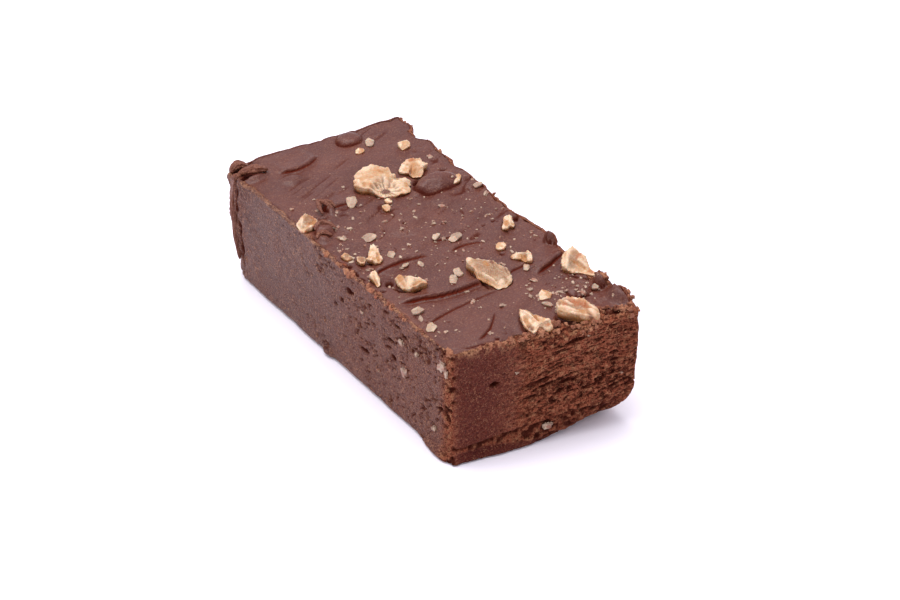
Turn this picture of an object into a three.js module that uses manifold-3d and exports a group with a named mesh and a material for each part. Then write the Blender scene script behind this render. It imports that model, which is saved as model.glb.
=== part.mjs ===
import * as THREE from 'three';
import { mergeVertices } from 'three/addons/utils/BufferGeometryUtils.js';
import Module from 'manifold-3d';

// A hand-cut bar of chocolate fudge with walnut pieces pressed into its top.
// Millimetres, +Z up. The bar lies along Y and its front end faces -Y.

// Driving sizes: the bar's four corners in plan, at the top and at the foot.
const HEIGHT = 30;
const TOP_CORNERS = {
  frontLeft: [-22.8, -46.2], frontRight: [23.3, -54.3], backRight: [24.6, 53.1], backLeft: [-25.8, 54.8],
};
const FOOT_CORNERS = {
  frontLeft: [-22.7, -46.2], frontRight: [22.6, -54.0], backRight: [24.0, 52.6], backLeft: [-24.6, 54.2],
};
const WIDTH = 48;
const LENGTH = 102;

// The middle of the finished bar's footprint box, which becomes the origin.
const MIDDLE = [-0.4, 0.19];

// Radii of the upright corners, the foot and the crumbled top edge.
const UPRIGHT_RADIUS = { frontLeft: 0.6, frontRight: 1.4, backRight: 1.2, backLeft: 6.5 };
const FOOT_RADIUS = 1.4;
const RIM_RADIUS = 0.7;

// Wear of the front top edge: distance from the left corner, radius of the crumbled edge, added height.
const FRONT_RIM = [
  [0, 0.6, 0], [8, 0.6, 1.2], [12, 0.8, 0.7], [18, 3.4, -0.4], [25, 2.4, -0.1], [33, 1.6, 0], [39, 1.2, 0.8],
  [47, 1.2, 1.1],
];
// The foot of the front face is worn round towards the right: distance from the left corner, radius.
const FRONT_FOOT = [[0, 0.8], [13, 0.9], [24, 2.2], [31, 4.2], [37, 7.6], [48, 11]];
// The same wear runs back along the foot of the right face: distance from the front corner, radius.
const RIGHT_FOOT = [[0, 11], [6, 8.0], [14, 3.4], [24, 1.8], [110, 1.4]];

// Mesh steps along the width, the length and the height.
const STEPS_X = 24;
const STEPS_Y = 50;
const ROWS = [0, 0.025, 0.07, 0.15, 0.25, 0.37, 0.5, 0.63, 0.76, 0.9];
const RIM_ARC_STEPS = 2;
const EDGE_CROWDING = 0.3;

// Swellings and hollows of the sides: middle, half sizes, push outwards.
const BULGES = [
  { at: [24.6, -12, 29], half: [4, 12, 9], out: 1.5 },
  { at: [24, -45, 29], half: [4, 9, 8], out: 1.2 },
  { at: [24.4, 43, 29], half: [3, 4, 7], out: -1.5 },
  { at: [-22.8, -40, 0], half: [3, 9, 2.8], out: 1.5 },
  { at: [-10, -49, 0], half: [16, 5, 2.6], out: 1.5 },
  { at: [-24.4, 8, 1], half: [3, 3, 2.4], out: 0.9 },
];

// Knife strokes over the top: start, end, sideways bow, groove depth, groove width, height of the plate behind.
const STROKES = [
  { from: [-19, -7.2], to: [-5, -7.4], bow: 0.5, depth: 0.9, width: 1.1, plate: 0.5 },
  { from: [1.6, -8.0], to: [10, -8.6], bow: 1.0, depth: 0.6, width: 0.9, plate: 0.3 },
  { from: [-20, -21.6], to: [0.5, -23.6], bow: -1.0, depth: 1.5, width: 1.2, plate: 0.7 },
  { from: [7.6, -23.6], to: [13.8, -22.4], bow: 0.2, depth: 0.6, width: 0.9, plate: 0.3 },
  { from: [-20, -32], to: [1, -28.6], bow: 0.8, depth: 0.4, width: 1.2, plate: 0.3 },
  { from: [-13.6, -43.6], to: [-4.6, -36], bow: -0.8, depth: 0.6, width: 0.9, plate: 0.4 },
  { from: [-15, 43.8], to: [-3.6, 46.2], bow: -1.6, depth: 0.7, width: 1.0, plate: 0.8 },
  { from: [-15.8, 23], to: [-8.5, 22.8], bow: 0.2, depth: 0.9, width: 1.0, plate: 0.5 },
  { from: [13.5, -27], to: [25.4, -21.4], bow: -0.4, depth: 1.3, width: 1.2, plate: 0.5 },
  { from: [0.8, -2.2], to: [7.6, -3], bow: -0.3, depth: 0.6, width: 0.8, plate: 0.3 },
];
const PLATE_REACH = 6;

// Smooth lumps of chocolate on the top: middle, half widths, height.
const LUMPS = [
  { at: [7.4, 49.6], half: [3.4, 3.0], high: 2.0 },
  { at: [14.6, 20.4], half: [5.4, 3.6], high: 2.0 },
  { at: [23.2, -38.8], half: [3.0, 2.8], high: 2.6 },
  { at: [17.0, -38.4], half: [3.2, 2.6], high: 0.8 },
  { at: [23.4, -45.6], half: [3.0, 4.4], high: 2.2 },
  { at: [24.0, -16.6], half: [2.4, 2.4], high: 2.2 },
  { at: [-21.6, 46.6], half: [4.4, 2.6], high: 1.6 },
  { at: [-14.4, 22.8], half: [1.6, 2.8], high: 1.4 },
  { at: [-19.6, 15.4], half: [2.6, 1.8], high: 1.2 },
  { at: [-21.6, 12.6], half: [1.8, 1.8], high: 1.0 },
  { at: [-14.6, 40.2], half: [3.6, 2.6], high: 0.7 },
];

// Walnut pieces: heart of the outline, corners round it, height above the chocolate, depth below, lean.
const WALNUTS = {
  walnut_fan: {
    heart: [1.6, 27.6], high: 3.2, deep: 1.2, lean: [0.02, 0.1],
    outline: [
      [-3.2, 25.4], [-3.0, 28.4], [-1.6, 30.6], [0.6, 31.8], [3.2, 32.4], [5.8, 32], [7.2, 30.4],
      [6.4, 28.6], [6.8, 26.8], [8.6, 26.8], [9.6, 25.4], [8.4, 22.6], [6.4, 20.2], [4, 20], [2.3, 20.4],
      [2.3, 24], [0.8, 24.6], [-0.9, 22.8], [-1.9, 22.6],
    ],
  },
  walnut_behind_fan: {
    heart: [13.0, 27.8], high: 2.0, deep: 1.0, lean: [0, 0.12],
    outline: [[9.8, 28.2], [12.4, 30.6], [15.2, 31.2], [16.4, 29.4], [16.8, 27.4], [14.2, 25.4], [11.2, 25.4]],
  },
  walnut_left_edge: {
    heart: [-21.2, 20.4], high: 2.4, deep: 1.0, lean: [0.05, 0.1],
    outline: [[-24.2, 20.6], [-23, 22.6], [-20.2, 23.4], [-19, 21.8], [-19.2, 19.6], [-21.4, 17.6], [-23.8, 17.8]],
  },
  walnut_crag: {
    heart: [-14.2, -14.6], high: 2.8, deep: 1.0, lean: [0.05, -0.05],
    outline: [
      [-17.4, -15.2], [-16.6, -12.6], [-15.6, -11.6], [-13.4, -12], [-11.4, -13.6], [-10.4, -14.2],
      [-10.6, -15.4], [-12.4, -16.6], [-16.4, -17.8],
    ],
  },
  walnut_blade: {
    heart: [-16.0, -1.2], high: 1.7, deep: 0.9, lean: [0.1, 0.05],
    outline: [[-17.8, -0.9], [-16.4, 0.6], [-14.6, 3], [-13.8, 2.4], [-14.3, -0.6], [-15.4, -3.1], [-17, -3.3]],
  },
  walnut_chip: {
    heart: [-18.6, -0.2], high: 1.0, deep: 0.8, lean: [0, 0.05],
    outline: [[-19.9, -1.2], [-19.2, 1.2], [-18.2, 1.6], [-17.9, 0.9], [-18.3, -1.4]],
  },
  walnut_wedge: {
    heart: [-21.2, 2.8], high: 1.3, deep: 0.8, lean: [0, 0],
    outline: [[-22.2, 1.6], [-22.2, 3.9], [-20.6, 4.6], [-19.6, 2.6], [-20.8, 1.2]],
  },
  walnut_long: {
    heart: [3.6, -21.4], high: 2.4, deep: 1.2, lean: [0.14, 0.02],
    outline: [
      [0.6, -19.6], [0.8, -16.8], [2.2, -15.6], [4.8, -16], [6.0, -18], [6.6, -21.6], [5.4, -25],
      [3.6, -27.2], [1.4, -27.4], [0.6, -24],
    ],
  },
  walnut_triangle: {
    heart: [14.2, -19.4], high: 1.4, deep: 0.8, lean: [0.05, 0.1],
    outline: [[11.5, -18.6], [12, -17.6], [16.2, -17.8], [15.2, -20.6], [14, -23], [13.1, -21.4]],
  },
  walnut_right_edge: {
    heart: [22.4, -28.6], high: 2.4, deep: 1.4, lean: [-0.05, 0.2],
    outline: [[19.3, -30], [20.6, -26.6], [24.4, -23.4], [25.0, -27.4], [24.8, -30.4], [24.4, -34.2], [21.6, -32.4]],
  },
  walnut_spear: {
    heart: [0.8, -43.6], high: 2.2, deep: 1.0, lean: [0, 0.1],
    outline: [[-2.2, -45], [-1, -41.6], [0.8, -38.6], [1.9, -39.2], [2.4, -43], [3.6, -45.2], [2.8, -47.6], [-1.6, -47.4]],
  },
  walnut_knob: {
    heart: [11.4, -46.4], high: 3.2, deep: 1.2, lean: [0, 0.05],
    outline: [
      [7.2, -46], [8.4, -43.2], [11.2, -42.4], [13.6, -43.4], [15.4, -46.2], [15.5, -48.6],
      [13.6, -50.8], [11.2, -50.8], [8.6, -49.2],
    ],
  },
  walnut_right_blade: {
    heart: [19.4, -5], high: 1.4, deep: 0.8, lean: [0, 0.1],
    outline: [[16.8, -6.8], [18.8, -4], [20.4, -2.6], [21.4, -3.6], [20.6, -6], [18.4, -7.2]],
  },
  walnut_left_blade: {
    heart: [-20.4, -9.2], high: 1.6, deep: 0.9, lean: [0.05, 0],
    outline: [[-21.6, -11], [-20.8, -8.4], [-20, -6.9], [-19.2, -7.4], [-19.4, -9.4], [-20.6, -11.4]],
  },
};
const WALNUT_SPOKES = 14;
// Section of a walnut piece from its crown down to its base: share of the outline, share of the height.
const WALNUT_SECTION = [[0.52, 0.96], [0.86, 0.82], [1.0, 0.42], [1.0, -0.4], [0.72, -1]];
const WALNUT_ROUGHNESS = 0.16;
const POCKET_GAP = 0.3;

// Walnut crumbs lying in the chocolate: middle, half length, half width, turn in degrees, height.
const CRUMBS = [
  [17.2, 39.4, 2.3, 1.8, 30, 1.5], [6.5, 42.8, 1.4, 1.1, 10, 0.8], [10.7, 44.9, 1.8, 1.2, 60, 0.9],
  [-7.8, 23.0, 2.4, 1.3, 50, 1.1], [0.0, 18.6, 1.4, 1.0, 40, 0.9], [-2.0, 16.2, 1.3, 0.9, 60, 0.9],
  [19.4, 18.2, 2.0, 0.9, 35, 0.9], [-12.2, 7.2, 1.9, 1.6, 0, 0.7], [5.0, -3.8, 1.8, 1.2, 20, 0.7],
  [1.2, -1.2, 1.4, 0.8, 30, 0.6], [-12.2, -2.6, 1.3, 1.0, 70, 0.7], [12.0, -13.0, 1.5, 1.3, 60, 0.9],
  [-3.0, -17.4, 1.9, 1.1, 75, 0.9], [-5.4, -19.2, 2.2, 1.0, 65, 0.8], [12.2, -23.6, 1.5, 0.8, 60, 0.7],
  [9.0, -36.0, 1.8, 1.4, 20, 1.0], [-19.8, -26.4, 1.7, 1.5, 10, 0.9], [-20.6, -33.8, 1.6, 1.3, 40, 0.8],
  [-11.4, -7.8, 1.2, 0.8, 20, 0.6], [-8.2, -9.4, 1.2, 0.7, 80, 0.6], [7.4, -39.6, 1.5, 0.7, 120, 0.7],
  [20.6, -39.8, 1.2, 0.8, 50, 0.6], [22.6, 13.6, 1.5, 1.1, 20, 0.8], [-17.6, 10.0, 1.0, 0.8, 20, 0.5],
];
const CRUMB_SPOKES = 6;

// Colours, sRGB.
const CHOCOLATE = 0x7e544e;
const WALNUT = 0xdcb592;

const clamp = (value, low, high) => Math.min(high, Math.max(low, value));
const mix = (a, b, t) => a + (b - a) * t;
const smooth = (low, high, value) => {
  const t = clamp((value - low) / (high - low), 0, 1);
  return t * t * (3 - 2 * t);
};

// A fixed random number from 0 to 1 for each whole-numbered point of space.
function scatter(ix, iy, iz) {
  let h = Math.imul(ix, 374761393) ^ Math.imul(iy, 668265263) ^ Math.imul(iz, 1274126177);
  h = Math.imul(h ^ (h >>> 13), 1103515245);
  return ((h ^ (h >>> 16)) >>> 0) / 4294967296;
}

// Smooth noise from -1 to 1: the fixed numbers of the eight points round a place, blended.
function noise(x, y, z) {
  const [ix, iy, iz] = [Math.floor(x), Math.floor(y), Math.floor(z)];
  const [fx, fy, fz] = [x - ix, y - iy, z - iz].map((f) => f * f * (3 - 2 * f));
  let sum = 0;
  for (let corner = 0; corner < 8; corner += 1) {
    const [dx, dy, dz] = [corner & 1, (corner >> 1) & 1, corner >> 2];
    const weight = (dx ? fx : 1 - fx) * (dy ? fy : 1 - fy) * (dz ? fz : 1 - fz);
    sum += weight * scatter(ix + dx, iy + dy, iz + dz);
  }
  return 2 * sum - 1;
}

// Straight-line reading of a table whose rows start with a distance.
function readTable(table, distance, column) {
  let row = 1;
  while (row < table.length - 1 && table[row][0] < distance) row += 1;
  const [a, b] = [table[row - 1], table[row]];
  return mix(a[column], b[column], clamp((distance - a[0]) / (b[0] - a[0]), 0, 1));
}

// Place in plan for shares of the width and the length at a share of the height.
function planPlace(across, along, up) {
  const corner = (name) => [0, 1].map((k) => mix(FOOT_CORNERS[name][k], TOP_CORNERS[name][k], up));
  const [fl, fr, br, bl] = ['frontLeft', 'frontRight', 'backRight', 'backLeft'].map(corner);
  return [0, 1].map((k) => mix(mix(fl[k], fr[k], across), mix(bl[k], br[k], across), along));
}

// Height that one knife stroke adds: a groove, and a plate behind it that thins out backwards.
function strokeHeight({ from, to, bow, depth, width, plate }, x, y) {
  const [dx, dy] = [to[0] - from[0], to[1] - from[1]];
  const length = Math.hypot(dx, dy);
  const along = ((x - from[0]) * dx + (y - from[1]) * dy) / (length * length);
  const bend = bow * 4 * along * (1 - along);
  const off = (-(x - from[0]) * dy + (y - from[1]) * dx) / length - bend;
  const ends = smooth(-0.08, 0.12, along) * smooth(1.08, 0.88, along);
  const groove = -depth * Math.exp(-((off / width) ** 2));
  const behind = plate * smooth(-width / 2, width, off) * Math.exp(-Math.max(off, 0) / PLATE_REACH);
  return ends * (groove + behind);
}

// Height that one smooth lump adds: a round cap with a soft foot.
function lumpHeight({ at, half, high }, x, y) {
  const away = Math.hypot((x - at[0]) / half[0], (y - at[1]) / half[1]);
  return high * smooth(1.15, 0.35, away);
}

// Height of the top above the bar's plain height: swells, knife strokes and lumps.
function topRelief(x, y) {
  let high = 0.35 * noise(x / 11, y / 8, 0.5) + 0.15 * noise(x / 4, y / 3, 4.5);
  for (const stroke of STROKES) high += strokeHeight(stroke, x, y);
  for (const lump of LUMPS) high += lumpHeight(lump, x, y);
  return high;
}

// Which face a place on the rectangle's edge belongs to, and how far along that face it lies.
function wearAt(px, py) {
  const nearFront = py < 1e-6;
  const nearRight = px > WIDTH - 1e-6;
  const ragged = 0.5 + 0.5 * noise(px / 2.6, py / 2.6, 9.5);
  const wear = { rim: RIM_RADIUS * (0.5 + 1.6 * ragged), foot: FOOT_RADIUS, raise: 0 };
  if (nearFront) {
    wear.rim = readTable(FRONT_RIM, px, 1) * (0.7 + 0.6 * ragged);
    wear.raise = readTable(FRONT_RIM, px, 2);
    wear.foot = readTable(FRONT_FOOT, px, 1);
  } else if (nearRight) {
    wear.foot = readTable(RIGHT_FOOT, py, 1);
    wear.raise = FRONT_RIM[FRONT_RIM.length - 1][2] * smooth(16, 2, py);
  } else if (px < 1e-6) {
    wear.rim *= 0.6;
  }
  return wear;
}

// Outward push of one swelling or hollow at a place on a side.
function bulgePush({ at, half, out }, x, y, z) {
  const away = Math.hypot((x - at[0]) / half[0], (y - at[1]) / half[1], (z - at[2]) / half[2]);
  return out * smooth(1.1, 0.2, away);
}

// Outward relief of a cut side: broad waves, torn slots on the front, a ragged right side.
function sideRelief(x, y, z, normal) {
  const waves = 0.25 * noise(x / 9, y / 9, z / 7) + 0.12 * noise(x / 3.5, y / 3.5, z / 3);
  const front = smooth(0.5, 0.9, -normal[1]);
  const right = smooth(0.5, 0.9, normal[0]);
  const left = smooth(0.5, 0.9, -normal[0]);
  const torn = smooth(0.1, 0.7, noise(x / 5, 3.5, (z - 0.12 * x) / 1.8)) * smooth(-8, 4, x) * smooth(10, 14, z);
  const crackHeight = 4 + 0.1 * (x + 23);
  const band = smooth(crackHeight + 0.6, crackHeight - 0.6, z) * smooth(-20, -8, x);
  const crags = noise(x / 3, y / 3.2, z / 2.6);
  const burr = left * smooth(38, 48, y) * smooth(6, 26, z) * (0.5 + 0.6 * crags);
  const bulges = BULGES.reduce((sum, bulge) => sum + bulgePush(bulge, x, y, z), 0);
  return waves - front * (0.7 * torn + 0.9 * band) + right * 0.7 * crags * smooth(8, 24, z) + burr + bulges;
}

// A place on the rectangle's edge, moved inwards by an inset and round the upright corner near it.
function roundedPlace(px, py, inset) {
  const cornerName = (py < LENGTH / 2 ? 'front' : 'back') + (px < WIDTH / 2 ? 'Left' : 'Right');
  const kept = UPRIGHT_RADIUS[cornerName];
  const turn = kept + inset;
  const inner = [clamp(px, turn, WIDTH - turn), clamp(py, turn, LENGTH - turn)];
  const out = [px - inner[0], py - inner[1]];
  const reach = Math.hypot(out[0], out[1]);
  const normal = [out[0] / reach, out[1] / reach];
  return { across: (inner[0] + normal[0] * kept) / WIDTH, along: (inner[1] + normal[1] * kept) / LENGTH, normal };
}

// One point of the cut sides, for a place on the rectangle's edge and a share of the height.
// At share 1 the arc runs from 0 to 1 over the rounded top edge.
function sidePoint(px, py, share, arc) {
  const wear = wearAt(px, py);
  const brink = roundedPlace(px, py, wear.rim);
  const top = HEIGHT + wear.raise + topRelief(...planPlace(brink.across, brink.along, 1));
  const turn = arc * Math.PI / 2;
  const z = share * (top - wear.rim) + wear.rim * Math.sin(turn);
  const low = clamp(wear.foot - z, 0, wear.foot);
  const footInset = wear.foot - Math.sqrt(wear.foot ** 2 - low ** 2);
  const rimInset = wear.rim * (1 - Math.cos(turn));
  const { across, along, normal } = roundedPlace(px, py, footInset + rimInset);
  const place = planPlace(across, along, clamp(z / HEIGHT, 0, 1));
  const push = sideRelief(place[0], place[1], z, normal);
  return [place[0] + normal[0] * push, place[1] + normal[1] * push, z];
}

// Even steps from 0 to 1, drawn closer together near both ends.
function crowdedSteps(count) {
  return Array.from({ length: count + 1 }, (unused, i) => {
    const t = i / count;
    return t - EDGE_CROWDING * Math.sin(2 * Math.PI * t) / (2 * Math.PI);
  });
}

// The places round the rectangle's edge, starting at the front left and turning left to right.
function edgePlaces() {
  const xs = crowdedSteps(STEPS_X).map((t) => t * WIDTH);
  const ys = crowdedSteps(STEPS_Y).map((t) => t * LENGTH);
  const front = xs.slice(0, -1).map((x) => [x, 0]);
  const right = ys.slice(0, -1).map((y) => [WIDTH, y]);
  const back = xs.slice(1).reverse().map((x) => [x, LENGTH]);
  const left = ys.slice(1).reverse().map((y) => [0, y]);
  return [...front, ...right, ...back, ...left];
}

// Inner points of the top, blended in plan from the ring of edge points round it.
function blendedTop(ring) {
  const at = (i, j) => {
    if (j === 0) return ring[i];
    if (i === STEPS_X) return ring[STEPS_X + j];
    if (j === STEPS_Y) return ring[2 * STEPS_X + STEPS_Y - i];
    return ring[(2 * STEPS_X + 2 * STEPS_Y - j) % ring.length];
  };
  const us = crowdedSteps(STEPS_X);
  const vs = crowdedSteps(STEPS_Y);
  const corners = [at(0, 0), at(STEPS_X, 0), at(0, STEPS_Y), at(STEPS_X, STEPS_Y)];
  return (i, j) => {
    const [u, v] = [us[i], vs[j]];
    const [x, y] = [0, 1].map((k) => mix(at(0, j)[k], at(STEPS_X, j)[k], u) + mix(at(i, 0)[k], at(i, STEPS_Y)[k], v)
      - mix(mix(corners[0][k], corners[1][k], u), mix(corners[2][k], corners[3][k], u), v));
    const inward = Math.min(i, j, STEPS_X - i, STEPS_Y - j);
    const edgeRaise = readTable(FRONT_RIM, u * WIDTH, 2) * smooth(0.09, 0, v)
      + FRONT_RIM[FRONT_RIM.length - 1][2] * smooth(0.8, 1, u) * smooth(0.16, 0.02, v) * smooth(0, 0.05, v);
    const nearFront = smooth(3, 0, inward) * smooth(0.05, 0, v) * readTable(FRONT_RIM, u * WIDTH, 1) * 0.15;
    return [x, y, HEIGHT + topRelief(x, y) + edgeRaise - nearFront];
  };
}

// A closed geometry from points and triangles.
function closedGeometry(points, triangles) {
  const geometry = new THREE.BufferGeometry();
  geometry.setAttribute('position', new THREE.Float32BufferAttribute(points.flat(), 3));
  geometry.setIndex(triangles.flat());
  return geometry;
}

// The bare bar: rings of the cut sides, the top laid between them, and a flat foot.
function barGeometry() {
  const edge = edgePlaces();
  const levels = ROWS.map((share) => [share, 0]);
  for (let k = 0; k <= RIM_ARC_STEPS; k += 1) levels.push([1, k / RIM_ARC_STEPS]);
  const points = levels.flatMap(([share, arc]) => edge.map(([px, py]) => sidePoint(px, py, share, arc)));
  const count = edge.length;
  const triangles = [];
  const quad = (a, b, c, d) => triangles.push([a, b, c], [a, c, d]);
  for (let level = 0; level < levels.length - 1; level += 1) {
    for (let k = 0; k < count; k += 1) {
      const next = (k + 1) % count;
      quad(level * count + k, level * count + next, (level + 1) * count + next, (level + 1) * count + k);
    }
  }
  const first = (levels.length - 1) * count;
  const ring = points.slice(first);
  const topPoint = blendedTop(ring);
  const index = new Map();
  const topIndex = (i, j) => {
    if (j === 0) return first + i;
    if (i === STEPS_X) return first + STEPS_X + j;
    if (j === STEPS_Y) return first + 2 * STEPS_X + STEPS_Y - i;
    if (i === 0) return first + 2 * STEPS_X + 2 * STEPS_Y - j;
    const key = i * (STEPS_Y + 1) + j;
    if (!index.has(key)) {
      index.set(key, points.length);
      points.push(topPoint(i, j));
    }
    return index.get(key);
  };
  for (let i = 0; i < STEPS_X; i += 1) {
    for (let j = 0; j < STEPS_Y; j += 1) {
      quad(topIndex(i, j), topIndex(i + 1, j), topIndex(i + 1, j + 1), topIndex(i, j + 1));
    }
  }
  const foot = points.slice(0, count).map(([x, y]) => new THREE.Vector2(x, y));
  for (const [a, b, c] of THREE.ShapeUtils.triangulateShape(foot, [])) triangles.push([a, c, b]);
  return closedGeometry(points, triangles);
}

// Distance from a heart to its outline in one direction, by the edge that the ray crosses.
function outlineReach(heart, outline, angle) {
  const [ux, uy] = [Math.cos(angle), Math.sin(angle)];
  let reach = 0;
  outline.forEach((start, k) => {
    const end = outline[(k + 1) % outline.length];
    const [ax, ay] = [start[0] - heart[0], start[1] - heart[1]];
    const [ex, ey] = [end[0] - start[0], end[1] - start[1]];
    const cross = ux * ey - uy * ex;
    if (Math.abs(cross) < 1e-9) return;
    const distance = (ax * ey - ay * ex) / cross;
    const share = (ax * uy - ay * ux) / cross;
    if (distance > 0 && share >= 0 && share <= 1) reach = Math.max(reach, distance);
  });
  return reach;
}

// A lump with an uneven outline: rings of the section carried round the heart, closed by two poles.
function lumpGeometry({ heart, reach, high, deep, lean, spokes, section, rough, base, grow }) {
  const level = (x, y, share, wobble) => {
    const tilt = (x - heart[0]) * lean[0] + (y - heart[1]) * lean[1];
    const size = share > 0 ? (high + tilt) * (1 + wobble) + grow : deep + grow;
    return base + share * size;
  };
  const points = [[heart[0], heart[1], level(heart[0], heart[1], 1, 0)]];
  for (const [out, share] of section) {
    for (let k = 0; k < spokes; k += 1) {
      const angle = 2 * Math.PI * (k + 0.5) / spokes;
      const plain = reach(angle) + grow;
      const wobble = rough * noise(plain * Math.cos(angle) * out + heart[0], plain * Math.sin(angle) * out, share * 2);
      const x = heart[0] + plain * out * (1 + wobble / 2) * Math.cos(angle);
      const y = heart[1] + plain * out * (1 + wobble / 2) * Math.sin(angle);
      points.push([x, y, level(x, y, share, wobble)]);
    }
  }
  points.push([heart[0], heart[1], level(heart[0], heart[1], -1, 0)]);
  const last = points.length - 1;
  const triangles = [];
  for (let k = 0; k < spokes; k += 1) {
    const next = (k + 1) % spokes;
    triangles.push([0, 1 + k, 1 + next]);
    for (let ring = 0; ring < section.length - 1; ring += 1) {
      const [upper, lower] = [1 + ring * spokes, 1 + (ring + 1) * spokes];
      triangles.push([upper + k, lower + k, lower + next], [upper + k, lower + next, upper + next]);
    }
    const bottom = 1 + (section.length - 1) * spokes;
    triangles.push([last, bottom + next, bottom + k]);
  }
  return closedGeometry(points, triangles);
}

// A walnut piece, or with a gap the pocket that it sits in.
function walnutGeometry({ heart, outline, high, deep, lean }, grow) {
  return lumpGeometry({
    heart, high, deep, lean, grow,
    reach: (angle) => outlineReach(heart, outline, angle),
    spokes: WALNUT_SPOKES, section: WALNUT_SECTION, rough: WALNUT_ROUGHNESS,
    base: HEIGHT + topRelief(heart[0], heart[1]),
  });
}

// A walnut crumb, an uneven six-sided grain half sunk in the chocolate.
function crumbGeometry([x, y, halfLength, halfWidth, turnDegrees, high]) {
  const turn = THREE.MathUtils.degToRad(turnDegrees);
  const reach = (angle) => {
    const a = angle - turn;
    return 1 / Math.hypot(Math.cos(a) / halfLength, Math.sin(a) / halfWidth);
  };
  return lumpGeometry({
    heart: [x, y], high, deep: 0.6, lean: [0, 0], grow: 0, reach,
    spokes: CRUMB_SPOKES, section: [[0.8, 0.8], [1, -0.2]], rough: 0.5,
    base: HEIGHT + topRelief(x, y),
  });
}

const wasm = await Module();
wasm.setup();

function toSolid(geometry) {
  const merged = mergeVertices(geometry, 1e-5);
  return new wasm.Manifold(new wasm.Mesh({
    numProp: 3,
    vertProperties: new Float32Array(merged.attributes.position.array),
    triVerts: new Uint32Array(merged.index.array),
  }));
}

function fromSolid(solid) {
  const { vertProperties, triVerts } = solid.getMesh();
  const geometry = new THREE.BufferGeometry();
  geometry.setAttribute('position', new THREE.BufferAttribute(new Float32Array(vertProperties), 3));
  geometry.setIndex(new THREE.BufferAttribute(new Uint32Array(triVerts), 1));
  return geometry;
}

function namedMesh(name, geometry, colour, roughness) {
  const material = new THREE.MeshStandardMaterial({ color: colour, roughness, metalness: 0 });
  geometry.computeVertexNormals();
  const mesh = new THREE.Mesh(geometry, material);
  mesh.name = name;
  return mesh;
}

// The bar with its crumbs fused on and a pocket cut for each walnut piece.
function fudgeBar() {
  let solid = toSolid(barGeometry());
  for (const crumb of CRUMBS) solid = solid.add(toSolid(crumbGeometry(crumb)));
  for (const piece of Object.values(WALNUTS)) solid = solid.subtract(toSolid(walnutGeometry(piece, POCKET_GAP)));
  return namedMesh('fudge_bar', fromSolid(solid), CHOCOLATE, 0.55);
}

const group = new THREE.Group();
group.add(fudgeBar());
for (const [name, piece] of Object.entries(WALNUTS)) {
  group.add(namedMesh(name, walnutGeometry(piece, 0), WALNUT, 0.6));
}
group.position.set(-MIDDLE[0], -MIDDLE[1], 0);

export default group;
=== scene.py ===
import math

import bmesh
import bpy
import numpy as np
from mathutils import Matrix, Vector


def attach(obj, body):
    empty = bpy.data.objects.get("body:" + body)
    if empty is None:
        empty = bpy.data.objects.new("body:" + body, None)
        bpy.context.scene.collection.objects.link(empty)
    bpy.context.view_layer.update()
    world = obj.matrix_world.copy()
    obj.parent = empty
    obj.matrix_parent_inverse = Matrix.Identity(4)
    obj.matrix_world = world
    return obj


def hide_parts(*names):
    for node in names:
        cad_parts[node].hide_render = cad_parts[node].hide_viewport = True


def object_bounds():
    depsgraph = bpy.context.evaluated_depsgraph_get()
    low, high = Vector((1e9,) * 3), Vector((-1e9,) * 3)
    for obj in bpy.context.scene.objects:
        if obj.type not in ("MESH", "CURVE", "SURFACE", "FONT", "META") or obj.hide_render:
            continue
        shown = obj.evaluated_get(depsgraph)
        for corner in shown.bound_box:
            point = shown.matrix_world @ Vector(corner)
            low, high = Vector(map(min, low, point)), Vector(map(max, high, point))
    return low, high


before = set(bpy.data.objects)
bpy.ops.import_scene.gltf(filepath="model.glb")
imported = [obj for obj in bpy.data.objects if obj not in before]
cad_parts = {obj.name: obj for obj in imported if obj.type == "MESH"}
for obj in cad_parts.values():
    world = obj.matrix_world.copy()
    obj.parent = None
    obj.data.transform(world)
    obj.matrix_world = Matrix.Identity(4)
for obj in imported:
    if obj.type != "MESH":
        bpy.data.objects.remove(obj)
CAD_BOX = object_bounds()

# A hand-cut bar of chocolate fudge with walnut pieces. Sizes are in millimetres until a mesh is made.
MM = 0.001
HEIGHT = 30.0
WIDTH = 48.0
LENGTH = 102.0
MIDDLE = np.array([-0.4, 0.19, 0.0])

# The bar's corners in plan, front left, front right, back right, back left, at the top and at the foot.
TOP_CORNERS = np.array([[-22.8, -46.2], [23.3, -54.3], [24.6, 53.1], [-25.8, 54.8]])
FOOT_CORNERS = np.array([[-22.7, -46.2], [22.6, -54.0], [24.0, 52.6], [-24.6, 54.2]])
UPRIGHT_RADIUS = {"front_left": 0.6, "front_right": 1.4, "back_right": 1.2, "back_left": 6.5}
FOOT_RADIUS = 1.4
RIM_RADIUS = 0.7

# Wear of the front top edge: distance from the left corner, radius of the crumbled edge, added height.
FRONT_RIM = np.array([
    [0, 0.6, 0], [8, 0.6, 1.2], [12, 0.8, 0.7], [18, 3.4, -0.4], [25, 2.4, -0.1], [33, 1.6, 0],
    [39, 1.2, 0.8], [47, 1.2, 1.1],
])
# Radius of the worn foot: along the front face from its left corner, and back along the right face.
FRONT_FOOT = np.array([[0, 0.8], [13, 0.9], [24, 2.2], [31, 4.2], [37, 7.6], [48, 11]])
RIGHT_FOOT = np.array([[0, 11], [6, 8.0], [14, 3.4], [24, 1.8], [110, 1.4]])

# The front edge of the top comes forward by this much for each millimetre to the right, and a distance
# along Y times this is square to it.
FRONT_SLANT = 0.17
FRONT_SQUARE = 0.985
# How far back the broken strip behind the front rim and the crumbs heaped in it reach, for places across.
FRONT_BROKEN = np.array([[-22, 0.8], [-14, 1.4], [-6, 2.2], [2, 4.4], [8, 5.0], [18, 5.6], [24, 4.0]])
FRONT_HEAP = np.array([[-14, 0.5], [-6, 1.6], [2, 3.6], [8, 4.4], [18, 4.8], [24, 3.4]])
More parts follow.
